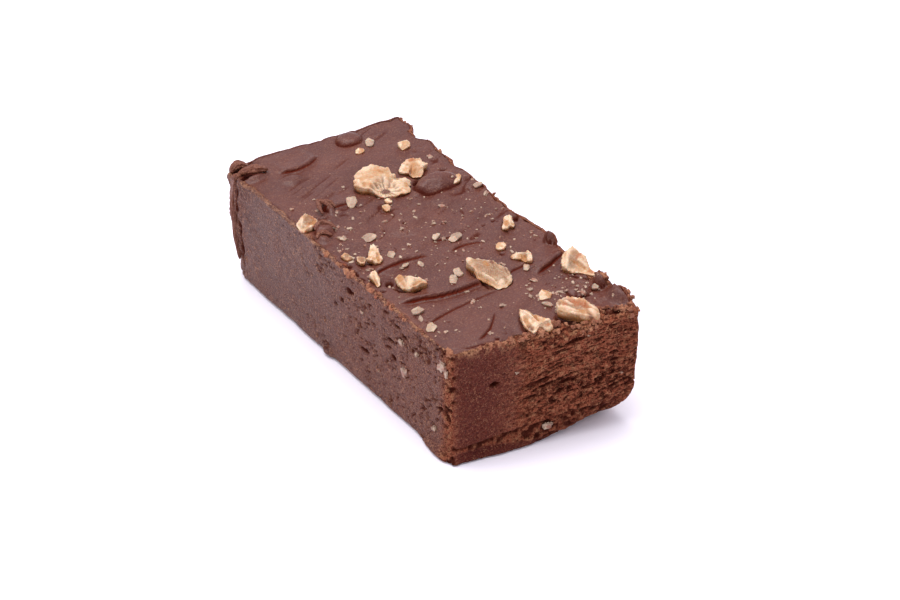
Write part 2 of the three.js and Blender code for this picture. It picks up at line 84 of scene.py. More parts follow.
# Lower edge of the crumbly band at the foot of the front, for places across.
FOOT_LIP = np.array([[-23, 3.4], [-8, 2.4], [2, 1.2], [10, -1.0]])

# Swellings and hollows of the sides: middle, half sizes, push outwards.
BULGES = [
    ((24.6, -12, 29), (4, 12, 9), 1.5),
    ((24, -45, 29), (4, 9, 8), 1.2),
    ((24.4, 43, 29), (3, 4, 7), -1.5),
    ((-22.8, -40, 0), (3, 9, 2.8), 1.5),
    ((-10, -49, 0), (16, 5, 2.6), 1.5),
    ((-24.4, 8, 1), (3, 3, 2.4), 0.9),
]

# Knife strokes over the top: start, end, sideways bow, groove depth, groove width, plate behind.
STROKES = [
    ((-19, -7.2), (-5, -7.4), 0.5, 0.9, 1.1, 0.5),
    ((1.6, -8.0), (10, -8.6), 1.0, 0.6, 0.9, 0.3),
    ((-20, -21.6), (0.5, -23.6), -1.0, 1.5, 1.2, 0.7),
    ((7.6, -23.6), (13.8, -22.4), 0.2, 0.6, 0.9, 0.3),
    ((-20, -32), (1, -28.6), 0.8, 0.4, 1.2, 0.3),
    ((-13.6, -43.6), (-4.6, -36), -0.8, 0.6, 0.9, 0.4),
    ((-15, 43.8), (-3.6, 46.2), -1.6, 0.7, 1.0, 0.8),
    ((-15.8, 23), (-8.5, 22.8), 0.2, 0.9, 1.0, 0.5),
    ((13.5, -27), (25.4, -21.4), -0.4, 1.3, 1.2, 0.5),
    ((0.8, -2.2), (7.6, -3), -0.3, 0.6, 0.8, 0.3),
]
PLATE_REACH = 6.0
# Distance off a knife stroke that is written where none is near.
NO_STROKE = 3.0
# Way of the knife over the top, as a direction in plan.
KNIFE_WAY = (0.91, 0.42)

# Smooth lumps of chocolate on the top: middle, half widths, height.
LUMPS = [
    ((7.4, 49.6), (3.4, 3.0), 0.7),
    ((14.6, 20.4), (5.4, 3.6), 1.4),
    ((23.2, -38.8), (3.0, 2.8), 2.6),
    ((17.0, -38.4), (3.2, 2.6), 0.8),
    ((23.4, -45.6), (3.0, 4.4), 2.2),
    ((24.0, -16.6), (2.4, 2.4), 2.2),
    ((-21.6, 46.6), (4.4, 2.6), 1.6),
    ((-14.4, 22.8), (1.6, 2.8), 1.4),
    ((-19.6, 15.4), (2.6, 1.8), 1.2),
    ((-21.6, 12.6), (1.8, 1.8), 1.0),
    ((-14.6, 40.2), (3.6, 2.6), 0.7),
]

# Holes and notches torn in the cut sides: middle, half sizes, depth.
HOLES = [
    ((-12.4, -48.2, 20), (1.4, 3, 0.8), 1.6),
    ((-22.8, -46.4, 21), (1.7, 1.7, 0.9), 1.5),
    ((-23.6, -3.0, 24.6), (3, 1.9, 1.1), 1.1),
    ((-23.8, 0.4, 20.4), (3, 0.9, 0.9), 1.6),
    ((-23.9, 3.4, 17.8), (3, 0.8, 0.6), 1.1),
    ((-23.2, -23.6, 26), (3, 1.6, 0.5), 1.3),
    ((-23.2, -26.4, 24.6), (3, 1.5, 0.6), 1.3),
    ((-23.1, -29.8, 22.8), (3, 0.8, 0.7), 1.0),
    ((-23.4, -20.6, 20.6), (3, 1.8, 0.5), 1.1),
    ((-23.2, -21.6, 16.2), (3, 1.4, 1.0), 1.1),
    ((-23.4, -8.6, 11), (3, 2.6, 0.8), 0.9),
    ((-23.0, -41, 13), (3, 1.0, 0.8), 0.9),
]

# Walnut pieces: heart of the outline, height above the chocolate, depth below, lean, outline corners.
WALNUTS = {
    "walnut_fan": ((2.5, 25.5), 3.1, 1.2, (0.07, 0.12), [
        (-4, 27.2), (-3.3, 25.3), (-2.2, 24.9), (-0.9, 23.5), (-1, 21.9), (-0.3, 20.9), (1.3, 20.4),
        (2.7, 19.5), (4.3, 19.8), (5.8, 19.6), (7.1, 20.3), (8.1, 21.6), (9.4, 24), (9, 25.1),
        (7.5, 24.8), (6.6, 24.4), (6.4, 25.3), (6.7, 26.5), (6.2, 27.8), (6.5, 28.9), (4.4, 30.5),
        (2.5, 31.4), (0.5, 31.6), (-0.9, 30.8), (-2.1, 30.6), (-3.4, 28.9)]),
    "walnut_behind_fan": ((13.3, 28.3), 2, 1, (0.1, 0.16), [
        (11.2, 27), (11.3, 25.4), (13, 24.6), (14.3, 25.6), (15, 26.7), (16.7, 27.4), (16.1, 29),
        (16.4, 30.6), (13.6, 31.4), (11.3, 30.6), (9.4, 29)]),
    "walnut_left_edge": ((-22.1, 19.5), 2.4, 1, (0.1, 0.15), [
        (-24.7, 18.3), (-24.2, 17.1), (-22.3, 16.8), (-20.1, 18.1), (-19.2, 19.7), (-20.3, 22),
        (-21.1, 22.3), (-24.1, 21.1)]),
    "walnut_crag": ((-14.5, -16.5), 2.6, 1, (0.1, 0.16), [
        (-17.7, -15), (-17.5, -17), (-16.7, -18.3), (-14.7, -18.4), (-13.6, -18.1), (-12.1, -18.5),
        (-10.9, -16.3), (-12.4, -15.4), (-14.8, -14.7), (-16, -13.1), (-17.3, -12.9)]),
    "walnut_blade": ((-16, -1.5), 1.7, 0.9, (0.1, 0.1), [
        (-18.5, -1.9), (-17.6, -3.1), (-17.4, -4.2), (-16.3, -4.5), (-15, -3.5), (-14.8, -1.4), (-14, -0),
        (-14.2, 1.7), (-15, 1.9), (-17.7, -1.4)]),
    "walnut_chip": ((-19.1, -0.7), 1, 0.8, (0.06, 0.08), [
        (-20.2, -0.5), (-20.2, -2), (-19.4, -2.5), (-18.4, -1.6), (-17.7, 0.4), (-19.3, 1.1)]),
    "walnut_wedge": ((-21.2, 2), 1.3, 0.8, (0.08, 0.12), [
        (-22.3, 1.5), (-21.9, 0.8), (-20.3, 0.8), (-19.7, 1.5), (-20.6, 2.9), (-20.8, 3.6), (-22.4, 3.2)]),
    "walnut_long": ((3.1, -22.3), 2.2, 1.2, (0.1, 0.08), [
        (-0.3, -17.3), (0.5, -18.7), (-0.2, -21.7), (0.7, -24.5), (1, -26.4), (1.2, -27.9), (3.4, -28.1),
        (5.6, -27.3), (6.8, -25.2), (6.8, -22.9), (5.9, -21.2), (5.6, -18.7), (4.7, -17.6), (2.5, -16.8),
        (1.3, -15.7), (0.3, -16)]),
    "walnut_triangle": ((13.8, -19.9), 1.3, 0.8, (0.1, 0.1), [
        (11.3, -18.9), (12.8, -20.4), (13, -21.8), (14.2, -22.9), (14.9, -22), (16, -18.2), (13.3, -18.3),
        (11.3, -18)]),
    "walnut_right_edge": ((22.1, -29.7), 2.4, 1.4, (0.04, 0.2), [
        (18.3, -29.5), (19.3, -31.1), (21.6, -33), (23.4, -35.3), (24.4, -34.3), (24.2, -32.2),
        (24.7, -29.9), (24.2, -28.1), (24.2, -24.9), (23.3, -25.4), (21, -25.8), (18.9, -28.4)]),
    "walnut_spear": ((0.1, -44.9), 2.1, 1, (0.07, 0.14), [
        (-1.7, -42.1), (-2.6, -44.9), (-2.4, -46.6), (-2, -48.1), (-0.1, -47.7), (1, -49.1), (2.5, -49.1),
        (3.2, -47.1), (2.3, -45.6), (1.4, -43.4), (0.9, -40.5), (-0.1, -39)]),
    "walnut_knob": ((10.9, -46.8), 3.1, 1.2, (0.12, 0.17), [
        (6.8, -44.7), (7.6, -46.4), (9.2, -48.2), (10.8, -50.3), (12.7, -51.6), (14.3, -50.9),
        (14.6, -48.8), (13.5, -46.3), (12.2, -44.2), (10.4, -42.7), (8.5, -42.2), (7.1, -43.5)]),
    "walnut_right_blade": ((18.8, -5.4), 1.4, 0.8, (0.07, 0.14), [
        (17.4, -7.5), (18.5, -6.7), (19.3, -7.2), (20.1, -6.6), (20.2, -5.4), (20.8, -3.9), (20.1, -3.1),
        (19, -3.3), (17.5, -5.4), (16.3, -6.8)]),
    "walnut_left_blade": ((-20.6, -9.6), 1.5, 0.9, (0.1, 0.06), [
        (-21.3, -8.8), (-21.3, -10.3), (-21.7, -12.2), (-20.8, -12), (-19.9, -10.3), (-19.6, -7.8),
        (-20.3, -7.2), (-21.4, -8)]),
}

# Marks on walnut pieces: middle, half length, half width, turn in degrees, added height, tone. The pale
# tone is partly the kernel's pale flesh and partly a painted highlight on edges and ridges; the gold and
# brown tones are partly the kernel's own colour and partly painted shade on its lower sides.
WALNUT_MARKS = {
    "walnut_fan": [
        (3.0, 28.4, 1.8, 0.7, -10, 0.0, "gold"), (7.4, 21.8, 1.4, 0.4, 60, 0.0, "gold"),
        (-2.2, 26.4, 1.0, 0.6, 70, 0.0, "gold"), (6.3, 25.4, 0.9, 0.7, 0, -1.0, "tan"),
        (1.0, 30.8, 3.0, 0.6, 5, 0.5, "pale"), (-3.0, 27.2, 1.8, 0.6, 80, 0.5, "pale"),
        (8.2, 24.2, 0.8, 0.5, 60, 0.5, "pale")],
    "walnut_behind_fan": [
        (12.4, 27.2, 2.6, 1.2, 40, 0.0, "gold"), (13.8, 30.4, 1.3, 0.7, 20, 0.2, "skin"),
        (15.2, 28.2, 0.8, 1.4, 0, 0.3, "pale"), (11.4, 27.0, 1.8, 0.3, 50, -0.4, "brown")],
    "walnut_left_edge": [
        (-21.6, 19.4, 3.0, 2.0, 40, 0.0, "tan"), (-21.0, 18.4, 1.6, 0.7, 40, -0.2, "gold"),
        (-19.9, 20.4, 1.0, 0.5, 70, 0.0, "skin"),
        (-23.0, 20.4, 1.6, 0.4, 60, 0.3, "pale"), (-22.6, 17.8, 1.4, 0.4, 30, -0.2, "gold")],
    "walnut_crag": [
        (-16.8, -14.6, 1.7, 0.7, 80, 0.3, "gold"), (-15.9, -15.0, 1.5, 0.25, 75, -0.2, "brown"),
        (-13.6, -17.6, 2.4, 0.4, 10, -0.1, "gold"), (-14.0, -15.9, 2.2, 1.0, -10, 0.4, "pale"),
        (-15.6, -16.8, 1.4, 0.9, 30, 0.3, "pale"),
        (-11.8, -16.0, 0.9, 0.8, 20, 0.4, "pale")],
    "walnut_blade": [
        (-15.8, -2.6, 1.9, 0.4, 68, -0.2, "gold"), (-14.7, 0.6, 1.5, 0.4, 68, 0.3, "pale"),
        (-17.2, -3.0, 0.9, 0.5, 60, 0.0, "gold")],
    "walnut_chip": [(-19.1, -0.7, 1.8, 1.0, 60, 0.0, "tan")],
    "walnut_wedge": [(-20.7, 1.2, 0.8, 0.4, 10, -0.2, "brown"), (-21.4, 2.2, 1.0, 0.6, 50, 0.1, "tan")],
    "walnut_long": [
        (3.4, -21.6, 6.6, 3.0, 108, 0.0, "tan"), (5.0, -19.4, 2.2, 0.5, 70, 0.0, "brown"),
        (6.5, -23.8, 1.4, 0.4, 88, 0.0, "brown"), (0.3, -23.8, 3.6, 0.9, 102, -0.7, "gold"),
        (1.4, -27.2, 1.4, 0.6, 10, -0.6, "gold"), (1.6, -24.6, 3.4, 0.2, 108, 0.4, "pale"),
        (0.6, -16.6, 1.2, 0.8, 10, 0.4, "pale"), (3.2, -26.6, 1.2, 0.6, 30, 0.3, "pale"),
        (3.2, -20.0, 1.6, 0.8, 75, 0.0, "gold")],
    "walnut_triangle": [
        (13.3, -20.8, 1.7, 0.5, 75, -0.4, "gold"), (14.2, -19.6, 1.6, 0.9, 75, 0.0, "tan"),
        (15.3, -19.9, 2.2, 0.25, 72, 0.45, "pale"), (13.2, -18.7, 1.5, 0.5, 0, 0.1, "pale")],
    "walnut_right_edge": [
        (21.8, -28.8, 3.0, 1.2, 50, 0.0, "tan"), (23.4, -28.8, 1.2, 0.7, 30, 0.2, "skin"),
        (23.6, -33.4, 1.2, 0.7, 100, 0.1, "skin"), (20.2, -28.6, 2.6, 0.5, 50, 0.4, "pale"),
        (22.4, -30.8, 2.2, 0.5, 120, -0.4, "gold")],
    "walnut_spear": [
        (-0.1, -43.4, 3.4, 0.3, 95, 0.5, "pale"), (-1.9, -46.6, 1.2, 0.7, 80, -0.3, "brown"),
        (0.8, -44.0, 2.0, 0.45, 80, -0.5, "gold"), (-1.4, -44.2, 1.7, 0.45, 75, -0.4, "gold"),
        (1.0, -47.6, 1.8, 0.8, 0, 0.3, "tan"), (1.6, -48.4, 1.0, 0.4, 0, 0.3, "skin"),
        (2.4, -46.8, 0.8, 0.4, 0, 0.4, "pale")],
    "walnut_knob": [
        (10.6, -46.2, 4.4, 1.6, 120, 0.0, "tan"), (7.9, -43.4, 1.0, 0.45, 60, -0.1, "brown"),
        (10.9, -45.4, 1.8, 1.1, 120, -0.2, "skin"), (8.6, -44.6, 1.4, 0.7, 60, 0.0, "skin"),
        (8.7, -46.3, 2.2, 0.45, 125, 0.3, "pale"), (12.4, -47.4, 1.9, 0.9, 115, -0.2, "skin"),
        (10.2, -48.4, 2.0, 0.6, 125, 0.0, "gold"), (9.6, -44.6, 1.2, 0.5, 120, 0.3, "pale"),
        (12.8, -50.0, 1.3, 0.7, 110, 0.4, "pale"), (13.7, -48.4, 1.2, 0.4, 100, 0.2, "pale"),
        (11.6, -50.6, 1.0, 0.4, 120, -0.2, "brown")],
    "walnut_right_blade": [
        (18.2, -6.0, 1.6, 0.6, 50, 0.0, "gold"), (19.9, -4.6, 1.7, 0.4, 60, 0.3, "pale")],
    "walnut_left_blade": [
        (-20.3, -9.2, 2.2, 0.4, 72, 0.3, "pale"), (-21.2, -10.8, 1.4, 0.3, 80, -0.2, "gold")],
}
MARK_TONES = ("tan", "skin", "gold", "brown", "pale", "chocolate", "hollow")
# Fibres round the hollow of the fan: middle, radius of the hollow, how far the fibres run, how deep.
FIBRES = {"walnut_fan": ((1.8, 22.8), 1.3, 4.1, 1.9)}
# Section of a walnut piece from its crown to its base: share of the outline, share of the height.
WALNUT_SECTION = np.array([
    [0, 1], [0.6, 1], [0.94, 0.99], [0.99, 0.95], [1.0, 0.8], [0.995, 0.4], [0.97, 0.1], [0.9, -0.4],
    [0.6, -1], [0, -1],
])
# Planes and scoops of a broken crown, and points round and down a piece.
WALNUT_FACETS = 5
WALNUT_SCOOPS = 2
WALNUT_SPOKES = 128
WALNUT_ROWS = 44
CRUMB_SPOKES = 44
CRUMB_ROWS = 26

# Pits and pockets in the top: middle, half length, half width, turn in degrees, depth.
TOP_PITS = [
    (-18.6, -12.4, 1.5, 1.1, 60, 1.3), (-18.0, -16.6, 1.6, 0.8, 110, 1.2), (-14.6, -18.6, 2.0, 0.6, 20, 1.0),
    (-17.8, -2.4, 1.1, 0.5, 110, 0.9), (8.4, -48.6, 2.8, 1.5, 125, 2.2), (6.6, -46.0, 1.4, 0.9, 110, 1.3),
    (11.2, 23.6, 1.7, 0.9, 30, 1.1), (0.1, -22.4, 4.6, 0.6, 92, 1.1), (-22.6, -1.2, 0.9, 0.6, 80, 0.9),
    (-15.2, 22.8, 1.7, 0.5, 100, 1.0), (-17.4, 20.2, 1.0, 0.6, 0, 0.9), (16.8, -2.0, 0.8, 0.4, 0, 0.7),
    (13.8, -2.2, 0.8, 0.4, 10, 0.7), (22.2, -3.6, 1.2, 0.7, 40, 1.2), (5.8, 3.0, 0.7, 0.4, 20, 0.6),
    (-2.0, 8.0, 0.7, 0.4, 30, 0.6), (12.8, -21.2, 1.6, 0.4, 110, 0.7), (19.6, 25.0, 1.4, 0.5, 0, 1.0),
    (-21.6, -14.4, 1.1, 0.5, 0, 0.8), (-22.6, -4.6, 0.9, 0.4, 80, 0.7), (-22.4, -6.8, 1.1, 0.4, 100, 0.6),
    (-1.8, -48.6, 1.8, 0.7, 165, 1.5), (5.0, -49.3, 2.2, 0.9, 170, 2.0), (-20.6, 17.0, 1.6, 0.5, 10, 0.8),
    (10.8, -15.2, 0.9, 0.5, 100, 0.6), (19.4, -33.0, 1.6, 0.6, 120, 0.9), (21.6, -35.0, 1.4, 0.5, 150, 0.8),
    (18.4, -50.4, 1.8, 0.6, 160, 1.3), (14.0, -51.6, 1.6, 0.6, 10, 1.3), (-10.0, -45.2, 1.0, 0.5, 30, 0.5),
    (-5.0, -49.9, 1.5, 0.6, 165, 1.6), (10.4, -50.6, 1.8, 0.6, 160, 1.5), (2.0, -48.0, 1.3, 0.7, 20, 1.4),
]

# Round caps of chocolate with a sharp edge: middle, half widths, height of the edge. The groove round
# each has painted shade, lightest on the side that this direction in plan points to.
LEAST_PAINTED_SHADE_SIDE = (0.534, 0.845)
DISCS = [
    ((7.4, 49.6), (3.3, 2.7), 0.55), ((14.8, 20.2), (5.8, 3.8), 0.7), ((23.0, -39.0), (2.1, 2.1), 0.6),
    ((23.8, -16.8), (1.9, 1.9), 0.6), ((17.0, -38.4), (3.2, 2.6), 0.2), ((-19.8, 15.0), (2.4, 1.7), 0.5),
]

# How deep a walnut crumb goes down, and its lean.
CRUMB_DEPTH = 0.6
CRUMB_LEAN = (0.05, 0.05)
# Walnut crumbs lying in the chocolate: middle, half length, half width, turn, height, golden (1) or not.
CRUMBS = [
    (17.2, 39.4, 2.3, 1.8, 30, 1.5, 1), (6.5, 42.8, 1.4, 1.1, 10, 0.8, 1),
    (10.7, 44.9, 1.8, 1.2, 60, 0.9, 0), (-7.8, 23.0, 2.4, 1.3, 50, 1.1, 0),
    (0.0, 18.6, 1.4, 1.0, 40, 0.9, 1), (-2.0, 16.2, 1.3, 0.9, 60, 0.9, 1),
    (19.4, 18.2, 2.0, 0.9, 35, 0.9, 1), (-12.2, 7.2, 1.9, 1.6, 0, 0.7, 0),
    (5.0, -3.8, 1.8, 1.2, 20, 0.7, 0), (1.2, -1.2, 1.4, 0.8, 30, 0.6, 0),
    (-12.2, -2.6, 1.3, 1.0, 70, 0.7, 0), (12.0, -13.0, 1.5, 1.3, 60, 0.9, 1),
    (-3.0, -17.4, 1.9, 1.1, 75, 0.9, 0), (-5.4, -19.2, 2.2, 1.0, 65, 0.8, 0),
    (12.2, -23.6, 1.5, 0.8, 60, 0.7, 0), (9.0, -36.0, 1.8, 1.4, 20, 1.0, 1),
    (-19.8, -26.4, 1.7, 1.5, 10, 0.9, 0), (-20.6, -33.8, 1.6, 1.3, 40, 0.8, 0),
    (-11.4, -7.8, 1.2, 0.8, 20, 0.6, 0), (-8.2, -9.4, 1.2, 0.7, 80, 0.6, 0),
    (7.4, -39.6, 1.5, 0.7, 120, 0.7, 0), (20.6, -39.8, 1.2, 0.8, 50, 0.6, 0),
    (22.6, 13.6, 1.5, 1.1, 20, 0.8, 0), (-17.6, 10.0, 1.0, 0.8, 20, 0.5, 0),
]

# Curled slivers of chocolate: three points that the middle line passes, radius, flatness.
CURLS = [
    ((-24.6, 49.0, 30.2), (-21.6, 47.6, 31.6), (-17.6, 46.2, 31.0), 1.15, 0.85),
    ((-25.2, 51.6, 29.6), (-23.2, 51.6, 31.4), (-20.6, 50.8, 30.4), 1.2, 0.7),
    ((-16.6, 21.4, 30.6), (-15.6, 24.8, 32.2), (-13.2, 21.8, 30.8), 0.6, 0.9),
    ((-14.6, 24.6, 30.6), (-13.4, 24.8, 31.6), (-12.4, 22.6, 30.6), 0.5, 0.9),
    ((-21.8, 16.2, 30.6), (-19.4, 17.2, 31.6), (-17.0, 14.2, 30.7), 0.55, 0.8),
    ((-23.2, 13.0, 30.4), (-21.4, 13.8, 31.2), (-19.4, 12.2, 30.5), 0.6, 0.7),
    ((-24.4, 47.6, 30.4), (-25.4, 49.2, 28.6), (-25.2, 50.2, 22.0), 1.1, 0.8),
    ((-25.3, 50.6, 27.0), (-25.1, 50.6, 18.0), (-24.3, 50.2, 5.0), 0.9, 1.0),
]

# Points round and along a curl.
CURL_SPOKES = 40
CURL_ROWS = 90
# Masks of the curls, the same all over: deep is a faint painted shade, pale a half-strength painted sheen.
CURL_MASKS = {
    "torn": 0.2, "deep": 0.05, "dusted": 0.12, "upper": 1.0, "pale": 0.5, "slotted": 0.0,
    "line_off": NO_STROKE, "line_depth": 0.0,
}

# Crumbs that are strewn by a seeded draw: how many are drawn, before some are left out.
SMALL_CRUMBS = 380
RIM_CRUMBS = 2600
HEAPED_CRUMBS = 300

# Bits of walnut cut through in the sides: middle, half sizes. Each is drawn as a few splinters.
SPLINTERS = 3
SIDE_BITS = [
    ((-23.3, -25.6, 22.6), (0.5, 0.9, 0.7)), ((-23.3, -26.4, 15.0), (0.5, 1.1, 1.2)),
    ((-22.9, -42.0, 25.2), (0.5, 1.7, 1.3)), ((-22.9, -44.0, 24.2), (0.5, 0.7, 1.0)),
    ((-22.9, -38.6, 6.5), (0.5, 0.6, 0.6)), ((-23.5, -4.4, 23.2), (0.5, 0.8, 0.6)),
    ((-23.5, -8.2, 21.6), (0.5, 0.8, 0.5)), ((-23.2, -32.0, 23.0), (0.5, 0.5, 0.5)),
    ((0.9, -50.0, 4.9), (1.1, 0.6, 0.9)), ((10.6, -51.6, 27.4), (0.6, 0.5, 0.5)),
    ((-7.0, -48.8, 22.0), (0.4, 0.5, 0.4)), ((19.0, -53.2, 15.0), (0.5, 0.5, 0.4)),
    ((-23.9, 12.0, 25.0), (0.4, 0.4, 0.4)), ((-23.6, -15.0, 9.0), (0.4, 0.4, 0.4)),
]

# Steps of the fine surface along the width, the length and the height, and over the rounded rim. Steps
# along the width and the length are crowded toward their ends by this share.
STEPS_X = 136
STEPS_Y = 216
SIDE_ROWS = 84
RIM_STEPS = 5
EDGE_CROWDING = 0.15
# A place this near an edge or a pole lies on it.
ON_EDGE = 1e-6
# Points nearer than this are joined, so that the poles are closed.
SAME_PLACE = 0.0001
# Whole numbers that mix a place into a fixed random number.
SCATTER_PRIMES = (374761393, 668265263, 1274126177)
SCATTER_MIXER = 1103515245


def smooth(low, high, value):
    """Soft step from 0 at low to 1 at high."""
    t = np.clip((value - low) / (high - low), 0, 1)
    return t * t * (3 - 2 * t)


def scatter(ix, iy, iz):
    """A fixed random number from 0 to 1 for each whole-numbered point of space."""
    with np.errstate(over="ignore"):
        h = np.uint32(0)
        for whole, prime in zip((ix, iy, iz), SCATTER_PRIMES):
            h = h ^ whole.astype(np.int64).astype(np.uint32) * np.uint32(prime)
        h = (h ^ (h >> np.uint32(13))) * np.uint32(SCATTER_MIXER)
    return (h ^ (h >> np.uint32(16))).astype(np.float64) / 2 ** 32


def draws(seed, *numbers):
    """Fixed random numbers from 0 to 1: one for a pair of whole numbers with each further one."""
    return [float(scatter(np.array(seed[0]), np.array(seed[1]), np.array(n))) for n in numbers]


def noise(x, y, z):
    """Smooth noise from -1 to 1: the fixed numbers of the eight points round a place, blended."""
    x, y, z = np.broadcast_arrays(np.asarray(x, float), y, z)
    whole = [np.floor(v) for v in (x, y, z)]
    part = [(v - w) ** 2 * (3 - 2 * (v - w)) for v, w in zip((x, y, z), whole)]
    total = np.zeros(x.shape)
    for corner in range(8):
        step = (corner & 1, (corner >> 1) & 1, corner >> 2)
        weight = np.ones(x.shape)
        for s, f in zip(step, part):
            weight = weight * (f if s else 1 - f)
        total += weight * scatter(whole[0] + step[0], whole[1] + step[1], whole[2] + step[2])
    return 2 * total - 1


def plan_place(across, along, up):
    """Place in plan for shares of the width and the length at a share of the height: corners blended."""
    up = np.asarray(up)[..., None]
    fl, fr, br, bl = (FOOT_CORNERS[k] * (1 - up) + TOP_CORNERS[k] * up for k in range(4))
    across, along = np.asarray(across)[..., None], np.asarray(along)[..., None]
    return (fl * (1 - across) + fr * across) * (1 - along) + (bl * (1 - across) + br * across) * along


def stroke_frame(stroke, x, y):
    """Share of the way along a knife stroke, distance off it (positive behind), and a share that ends it."""
    (x0, y0), (x1, y1), bow = stroke[:3]
    dx, dy = x1 - x0, y1 - y0
    length = math.hypot(dx, dy)
    along = ((x - x0) * dx + (y - y0) * dy) / length ** 2
    off = (-(x - x0) * dy + (y - y0) * dx) / length - bow * 4 * along * (1 - along)
    ends = smooth(-0.08, 0.12, along) * smooth(1.08, 0.88, along)
    return along, off, ends


def stroke_height(stroke, x, y):
    """A sharp edge along the stroke: a plate that thins out behind it, a hollow that fills up before it."""
    depth, width, plate = stroke[3:]
    _, off, ends = stroke_frame(stroke, x, y)
    off = off + 0.12 * noise(x / 2.2, y / 2.2, 3.5)
    before = -0.45 * depth * smooth(0.5, -0.4, off) * np.exp(np.minimum(off, 0) / (0.8 * width))
    behind = plate * smooth(-0.5, 0.5, off) * np.exp(-np.maximum(off, 0) / PLATE_REACH)
    return ends * (before + behind)


def lump_height(lump, x, y):
    """A round cap with a soft foot."""
    (mx, my), (hx, hy), high = lump
    return high * smooth(1.15, 0.35, np.hypot((x - mx) / hx, (y - my) / hy))


def top_relief(x, y):
    """Height of the top above the plain bar: swells, knife strokes and lumps."""
    high = 0.35 * noise(x / 11, y / 8, 0.5) + 0.15 * noise(x / 4, y / 3, 4.5)
    for stroke in STROKES:
        high = high + stroke_height(stroke, x, y)
    for lump in LUMPS:
        high = high + lump_height(lump, x, y)
    return high


def front_edge(x):
    """The front edge of the top in plan: its place along the length for each place across."""
    return TOP_CORNERS[0, 1] - FRONT_SLANT * (x - TOP_CORNERS[0, 0])


def outline_reach(heart, outline, angle):
    """Distance from a heart to its outline along each angle, by the farthest edge that the ray crosses."""
    start = np.array(outline, float) - heart
    edge = np.roll(start, -1, axis=0) - start
    ux, uy = np.cos(angle)[..., None], np.sin(angle)[..., None]
    cross = ux * edge[:, 1] - uy * edge[:, 0]
    cross = np.where(np.abs(cross) < 1e-9, 1e-9, cross)
    distance = (start[:, 0] * edge[:, 1] - start[:, 1] * edge[:, 0]) / cross
    share = (start[:, 0] * uy - start[:, 1] * ux) / cross
    hit = (distance > 0) & (share >= 0) & (share <= 1)
    return np.where(hit, distance, 0).max(axis=-1)


def nest_height(x, y):
    """The chocolate sinks a little under each walnut piece, up to half a millimetre outside its outline."""
    high = np.zeros(np.shape(x))
    for heart, _, _, _, outline in WALNUTS.values():
        dx, dy = x - heart[0], y - heart[1]
        away = np.hypot(dx, dy)
        near = away < 12
        reach = outline_reach(heart, outline, np.arctan2(dy[near], dx[near]))
        high[near] -= 0.3 * smooth(0.5, 0.0, away[near] - reach)
    return high


def turned_distance(x, y, mx, my, length, width, turn):
    """Distance from a turned ellipse's middle, 1 on its rim."""
    c, k = math.cos(math.radians(turn)), math.sin(math.radians(turn))
    dx, dy = x - mx, y - my
    return np.hypot((dx * c + dy * k) / length, (dy * c - dx * k) / width)


def stroke_marks(x, y):
    """A low lip behind each stroke, the distance off the nearest one, and its crease's painted shade
    strength.
    """
    lip = np.zeros(np.shape(x))
    line = {"line_off": lip + NO_STROKE, "line_depth": lip}
    for stroke in STROKES:
        along, off, ends = stroke_frame(stroke, x, y)
        depth = stroke[3]
        off = off + 0.15 * noise(x / 2.2, y / 2.2, 3.5)
        lip = lip + ends * 0.3 * depth * np.exp(-((off - 1.0) / 0.7) ** 2)
        nearer = (ends > 0.01) & (np.abs(off) < np.abs(line["line_off"]))
        fading = (1.1 - 0.55 * np.clip(along, 0, 1)) * smooth(2.8, 1.8, np.abs(off))
        strength = ends * min(1.0, 0.35 + 0.5 * depth) * fading
        line["line_off"] = np.where(nearer, off, line["line_off"])
        line["line_depth"] = np.where(nearer, strength, line["line_depth"])
    return lip, line


def disc_marks(x, y):
    """Round caps: raised inside, with a sunk ring round them that has painted shade, darkest toward the
    front left.
    """
    high, dark = np.zeros(np.shape(x)), np.zeros(np.shape(x))
    for (mx, my), (hx, hy), edge in DISCS:
        away = np.hypot((x - mx) / hx, (y - my) / hy) + 0.08 * noise(x / 1.6, y / 1.6, 13.5)
        facing = ((x - mx) * LEAST_PAINTED_SHADE_SIDE[0] + (y - my) * LEAST_PAINTED_SHADE_SIDE[1]) / (0.1 + np.hypot(x - mx, y - my))
        ring = np.exp(-((away - 1.04) / 0.1) ** 2)
        high = high + edge * smooth(1.02, 0.9, away) - 0.7 * edge * ring
        high = high + 0.12 * smooth(1.0, 0.8, away) * noise(x / 0.9, y / 0.9, 19.5)
        dark = np.maximum(dark, 1.1 * ring * (0.55 - 0.45 * facing))
    return high, dark


def pit_marks(x, y):
    """Sunk ellipses with ragged edges, with painted shade inside."""
    high, dark = np.zeros(np.shape(x)), np.zeros(np.shape(x))
    for mx, my, length, width, turn, depth in TOP_PITS:
        away = turned_distance(x, y, mx, my, length, width, turn) + 0.25 * noise(x / 1.1, y / 1.1, 17.5)
        sunk = smooth(1.15, 0.45, away)
        high = high - depth * sunk
        dark = np.maximum(dark, sunk * min(1.2, 0.55 + 0.5 * depth))
    return high, dark


def knife_frame(x, y):
    """Places along and across the knife's way."""
    return KNIFE_WAY[0] * x + KNIFE_WAY[1] * y, KNIFE_WAY[0] * y - KNIFE_WAY[1] * x


def brush_marks(x, y):
    """Broad waves and scratches: noise drawn out along the knife's way, deepest in the back part, with
    painted shade in the troughs of the scratches.
    """
    along, across = knife_frame(x, y)
    brushed = smooth(17, 24, y) * smooth(-0.25, 0.35, noise(x / 7, y / 5, 15.5))
    scratch = noise(along / 8.0, across / 0.6, 11.5)
    high = (0.03 + 0.1 * brushed) * scratch + 0.26 * noise(along / 14.0, across / 3.0, 14.5)
    return high, 0.4 * brushed * smooth(-0.1, -0.5, scratch)


